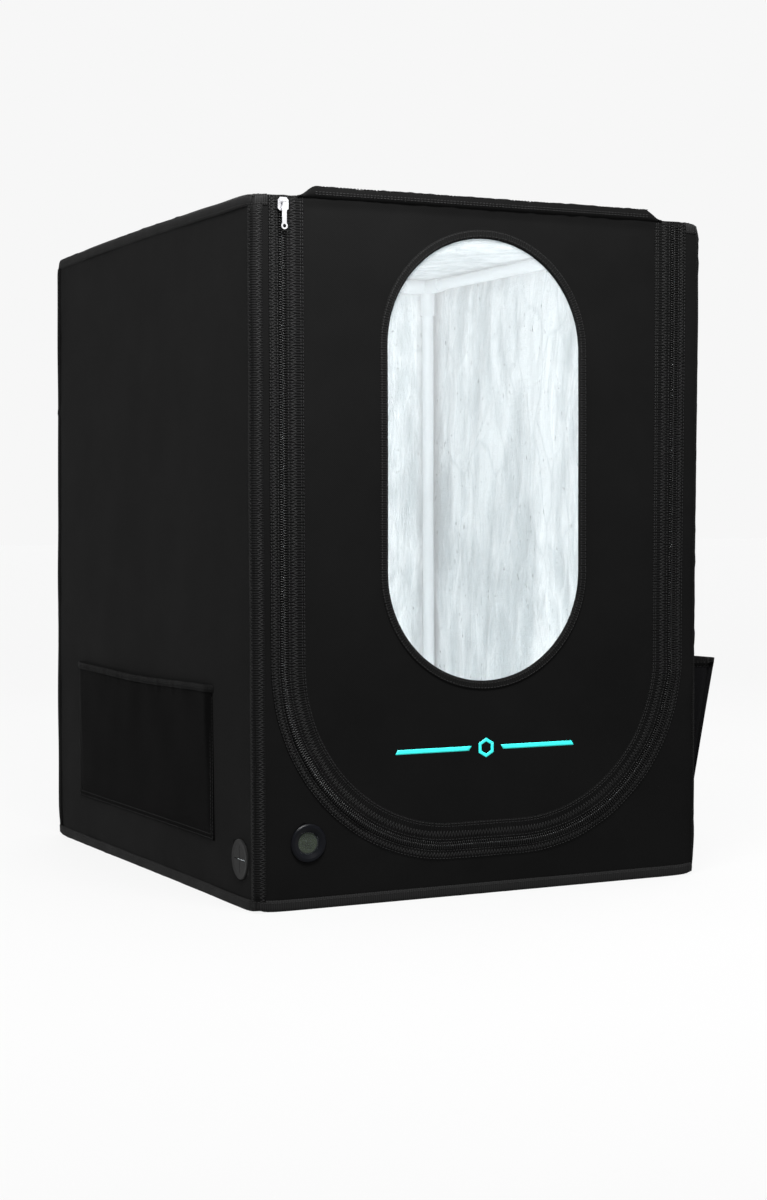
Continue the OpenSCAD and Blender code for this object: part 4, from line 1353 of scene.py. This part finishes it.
def tool_bag_tape():
    """Tape that sews the bag's ends and floor to the wall. Gives back its stitches."""
    line = dense([(BAG_LOW.y - 1 * MM, BAG_HIGH.z), (BAG_LOW.y - 1 * MM, BAG_LOW.z - 1 * MM),
                  (BAG_HIGH.y + 1 * MM, BAG_LOW.z - 1 * MM), (BAG_HIGH.y + 1 * MM, BAG_HIGH.z)],
                 10 * MM)
    outward = np.array([((y < BAG_LOW.y) * -1.0 + (y > BAG_HIGH.y) * 1.0,
                         (z < BAG_LOW.z) * -1.0) for y, z in line])
    outward /= np.linalg.norm(outward, axis=1, keepdims=True)
    diagonal = np.where(np.abs(outward).min(1) > 0.1, math.sqrt(2), 1.0)[:, None]
    path = RIGHT.at(line[:, 0], line[:, 1], 0)
    side = np.stack([0 * outward[:, 0], outward[:, 0], outward[:, 1]], 1) * diagonal
    out = np.broadcast_to(RIGHT.out, path.shape)
    tape = sweep(path, side, out, rounded_band(-2 * MM, 9 * MM, -0.5 * MM, 1.6 * MM))
    bound("tool_bag_tape", [tape], None, BINDING)
    return [stitches(path + side * across * MM + out * rise * MM, RIGHT.out)
            for across, rise in ((6.5, 1.5), (2.5, 1.6))]


def small_pocket(index, first, width, tall, rng):
    """One pouch on the bag's face: the cloth, its hem and its stitching."""
    deep = (13.5 + 4 * rng.random()) * MM
    droop = (9 + 9 * rng.random()) * MM
    lean = (rng.random() - 0.5) * 0.9
    pull_in = 0.06 + 0.08 * rng.random()
    turn = np.linspace(0, math.pi, 41)
    b = np.linspace(0, 1, 30)
    across = 0.5 - 0.5 * np.sign(np.cos(turn)) * np.abs(np.cos(turn)) ** 0.8
    arch = np.sin(turn) ** 0.7
    skew = 1 + lean * (across - 0.5)
    ripple = waves(200 + index, 26 * MM, (1.0, 3.0))
    spread = 1 - pull_in * smooth(0.3, 1, b)[None, :] * (arch ** 0.5)[:, None]
    y = first + width * (0.5 + (across[:, None] - 0.5) * spread)
    slack = (arch ** 1.5 * (1 + 0.5 * lean * np.cos(turn)))[:, None]
    tip = 4 * MM * (np.clip(1 - 3 * arch, 0, 1) ** 2)[:, None] * b[None, :] ** 6
    h = tall * b[None, :] - droop * b[None, :] ** 3 * slack + tip
    grow = 0.12 + 0.88 * smooth(0.0, 0.55, b)
    out = (0.5 * MM + deep * arch[:, None] * skew[:, None] * grow[None, :]
           + 1.1 * MM * ripple(y, h) * arch[:, None] * b[None, :])
    outer = place_on_face(y, h, out)
    normal = normals(outer)
    inner = outer - normal * 0.9 * MM
    run = run_along(outer[:, -1])
    uv = np.stack(np.broadcast_arrays(run[:, None] + index, tall * b[None]), -1)
    start = int(np.argmax(b > 0.9))
    hem_out = outer[:, start:] + normal[:, start:] * 0.55 * MM
    hem_in = inner[:, start:] - normal[:, start:] * 0.2 * MM
    rows = [stitches(outer[:, start] + normal[:, start] * 0.5 * MM, normal[:, start])]
    for inset in (2, -3):
        path = outer[inset, 2:-3] + normal[inset, 2:-3] * 0.1 * MM
        rows.append(stitches(path, normal[inset, 2:-3]))
    rows.append(stitches(outer[2:-2, 1] + normal[2:-2, 1] * 0.1 * MM, normal[2:-2, 1]))
    return (outer, inner, uv), (hem_out, hem_in, uv[:, start:]), rows, run[-1]


def place_on_face(y, h, out):
    """Points on the bag's leaning face, from along, up and out."""
    base = np.array((RIGHT_X + BAG_FOOT, 0, BAG_LOW.z + 2 * MM))
    y, h, out = np.broadcast_arrays(y, h, out)
    out = out + slump(y, h * math.cos(BAG_LEAN) / (BAG_HIGH.z - BAG_LOW.z))
    return (base + y[..., None] * np.array((0, 1, 0)) + h[..., None] * FACE_UP
            + out[..., None] * FACE_OUT)


def small_pockets(count=5, gap=6 * MM):
    """The row of pouches on the bag's face, with hems and stitching."""
    low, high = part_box("tool_pockets")
    pitch = (high.y - low.y + gap) / count
    tall = 110 * MM
    rng = np.random.default_rng(5)
    pouches, hems, rows, length = [], [], [], 0.0
    for k in range(count):
        pouch, hem, lines, run = small_pocket(k, low.y + k * pitch, pitch - gap, tall, rng)
        pouches.append(skin(*pouch))
        hems.append(skin(*hem))
        rows += lines
        length += float(run)
    cloth = piece("tool_pocket_cloth", pouches, "cover", BAG_CLOTH)
    declare("tool_pockets", (length, tall))
    bound("tool_pocket_edges", hems, "tool_pocket_hems", BINDING)
    sewn("tool_pocket_stitches", rows)


# Hard parts ----------------------------------------------------------------------------------

def finish_node(name, material, bevel=0.0):
    """Gives a CAD node its material and, where it helps, softened edges."""
    node = NODE[name]
    node.data.materials.clear()
    node.data.materials.append(material)
    if bevel:
        soft = node.modifiers.new("soft_edges", "BEVEL")
        soft.width, soft.segments = bevel, 3
        soft.limit_method, soft.angle_limit = "ANGLE", math.radians(35)
        soft.harden_normals = True


SEGMENTS = {"0": "abcdef", "1": "bc", "2": "abged", "3": "abgcd", "4": "fgbc", "5": "afgcd",
            "6": "afgedc", "7": "abc", "8": "abcdefg", "9": "abcdfg"}


def digit(character, x, z, w, h):
    """Seven-segment digit as flat bars, (low x, low z, high x, high z) each."""
    t = 0.16 * w + 0.15 * MM
    bars = {"a": (0, h - t, w, h), "d": (0, 0, w, t), "g": (0, h / 2 - t / 2, w, h / 2 + t / 2),
            "f": (0, h / 2, t, h), "b": (w - t, h / 2, w, h), "e": (0, 0, t, h / 2),
            "c": (w - t, 0, w, h / 2)}
    gap = 0.12 * MM
    return [(x + bars[s][0] + gap, z + bars[s][1] + gap, x + bars[s][2] - gap,
             z + bars[s][3] - gap) for s in SEGMENTS[character]]


def screen_bars(x, z):
    """The display's dark bars around its centre: a temperature over a humidity."""
    bars = []
    for text, first, base, pitch, wide, tall in (("245", -5.4, 3.2, 3.5, 2.6, 4.6),
                                                 ("46", -6.4, -6.6, 6.0, 4.7, 8.2)):
        for k, character in enumerate(text):
            bars += digit(character, x + (first + pitch * k) * MM, z + base * MM, wide * MM,
                          tall * MM)
    for low_x, low_z, high_x, high_z in ((0.95, 3.3, 1.35, 3.8), (6.0, -3.0, 7.2, -1.8),
                                         (6.0, 4.0, 7.4, 5.2)):
        bars.append((x + low_x * MM, z + low_z * MM, x + high_x * MM, z + high_z * MM))
    return bars


def meter():
    """Materials of the thermometer's nodes, and the figures and mask on its display."""
    finish_node("meter_bezel", BEZEL, 0.25 * MM)
    for name, material in (("case", BEZEL), ("battery_cover", BEZEL), ("display", LCD),
                           ("board", BOARD), ("batteries", SILVER), ("lens", LENS)):
        finish_node(f"meter_{name}", material)
    low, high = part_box("meter_display")
    x, z = (low.x + high.x) / 2, (low.z + high.z) / 2
    parts = []
    for x0, z0, x1, z1 in screen_bars(x, z):
        cut = min(x1 - x0, z1 - z0) * 0.3
        ring = [(x0 + cut, z0), (x1 - cut, z0), (x1, z0 + cut), (x1, z1 - cut),
                (x1 - cut, z1), (x0 + cut, z1), (x0, z1 - cut), (x0, z0 + cut)]
        points = [FRONT.at(p, q, out) for out in (-1.24 * MM, -1.295 * MM) for p, q in ring]
        parts.append((np.array(points), tube_faces(2, len(ring)), np.zeros((len(points), 2))))
    turn = np.linspace(0, 2 * math.pi, 65)
    ring = np.stack([np.cos(turn), np.sin(turn)], 1)
    a, b = between(*(np.array((x, z)) + ring * r * MM for r in (10.9, 13.2)), 2)
    parts.append(skin(FRONT.at(a, b, -1.24 * MM), FRONT.at(a, b, -1.29 * MM),
                      np.stack([a, b], -1)))
    piece("meter_digits", parts, "cover", DIGIT, soft=False)


def hard_parts():
    """The looks of the nodes that come straight from the CAD."""
    for name in NODE:
        if name.startswith("pole_"):
            finish_node(name, POLE)
        elif name.startswith("connector_"):
            finish_node(name, JOINER)
    finish_node("zipper_slider", SILVER, 0.3 * MM)
    finish_node("zipper_pull", SILVER, 0.35 * MM)
    finish_node("cable_grommet", RUBBER, 0.3 * MM)


# Everything ----------------------------------------------------------------------------------

studio()
cover_panels()
front_surround()
linings()
door_cloth()
door_lining()
window_parts()
mark()
for half in ZIPPER_HALVES:
    zipper_half(*half)
door_seam()
upright_bindings()
foot_binding()
top_binding()
side_pocket()
tool_bag()
small_pockets()
meter()
hard_parts()
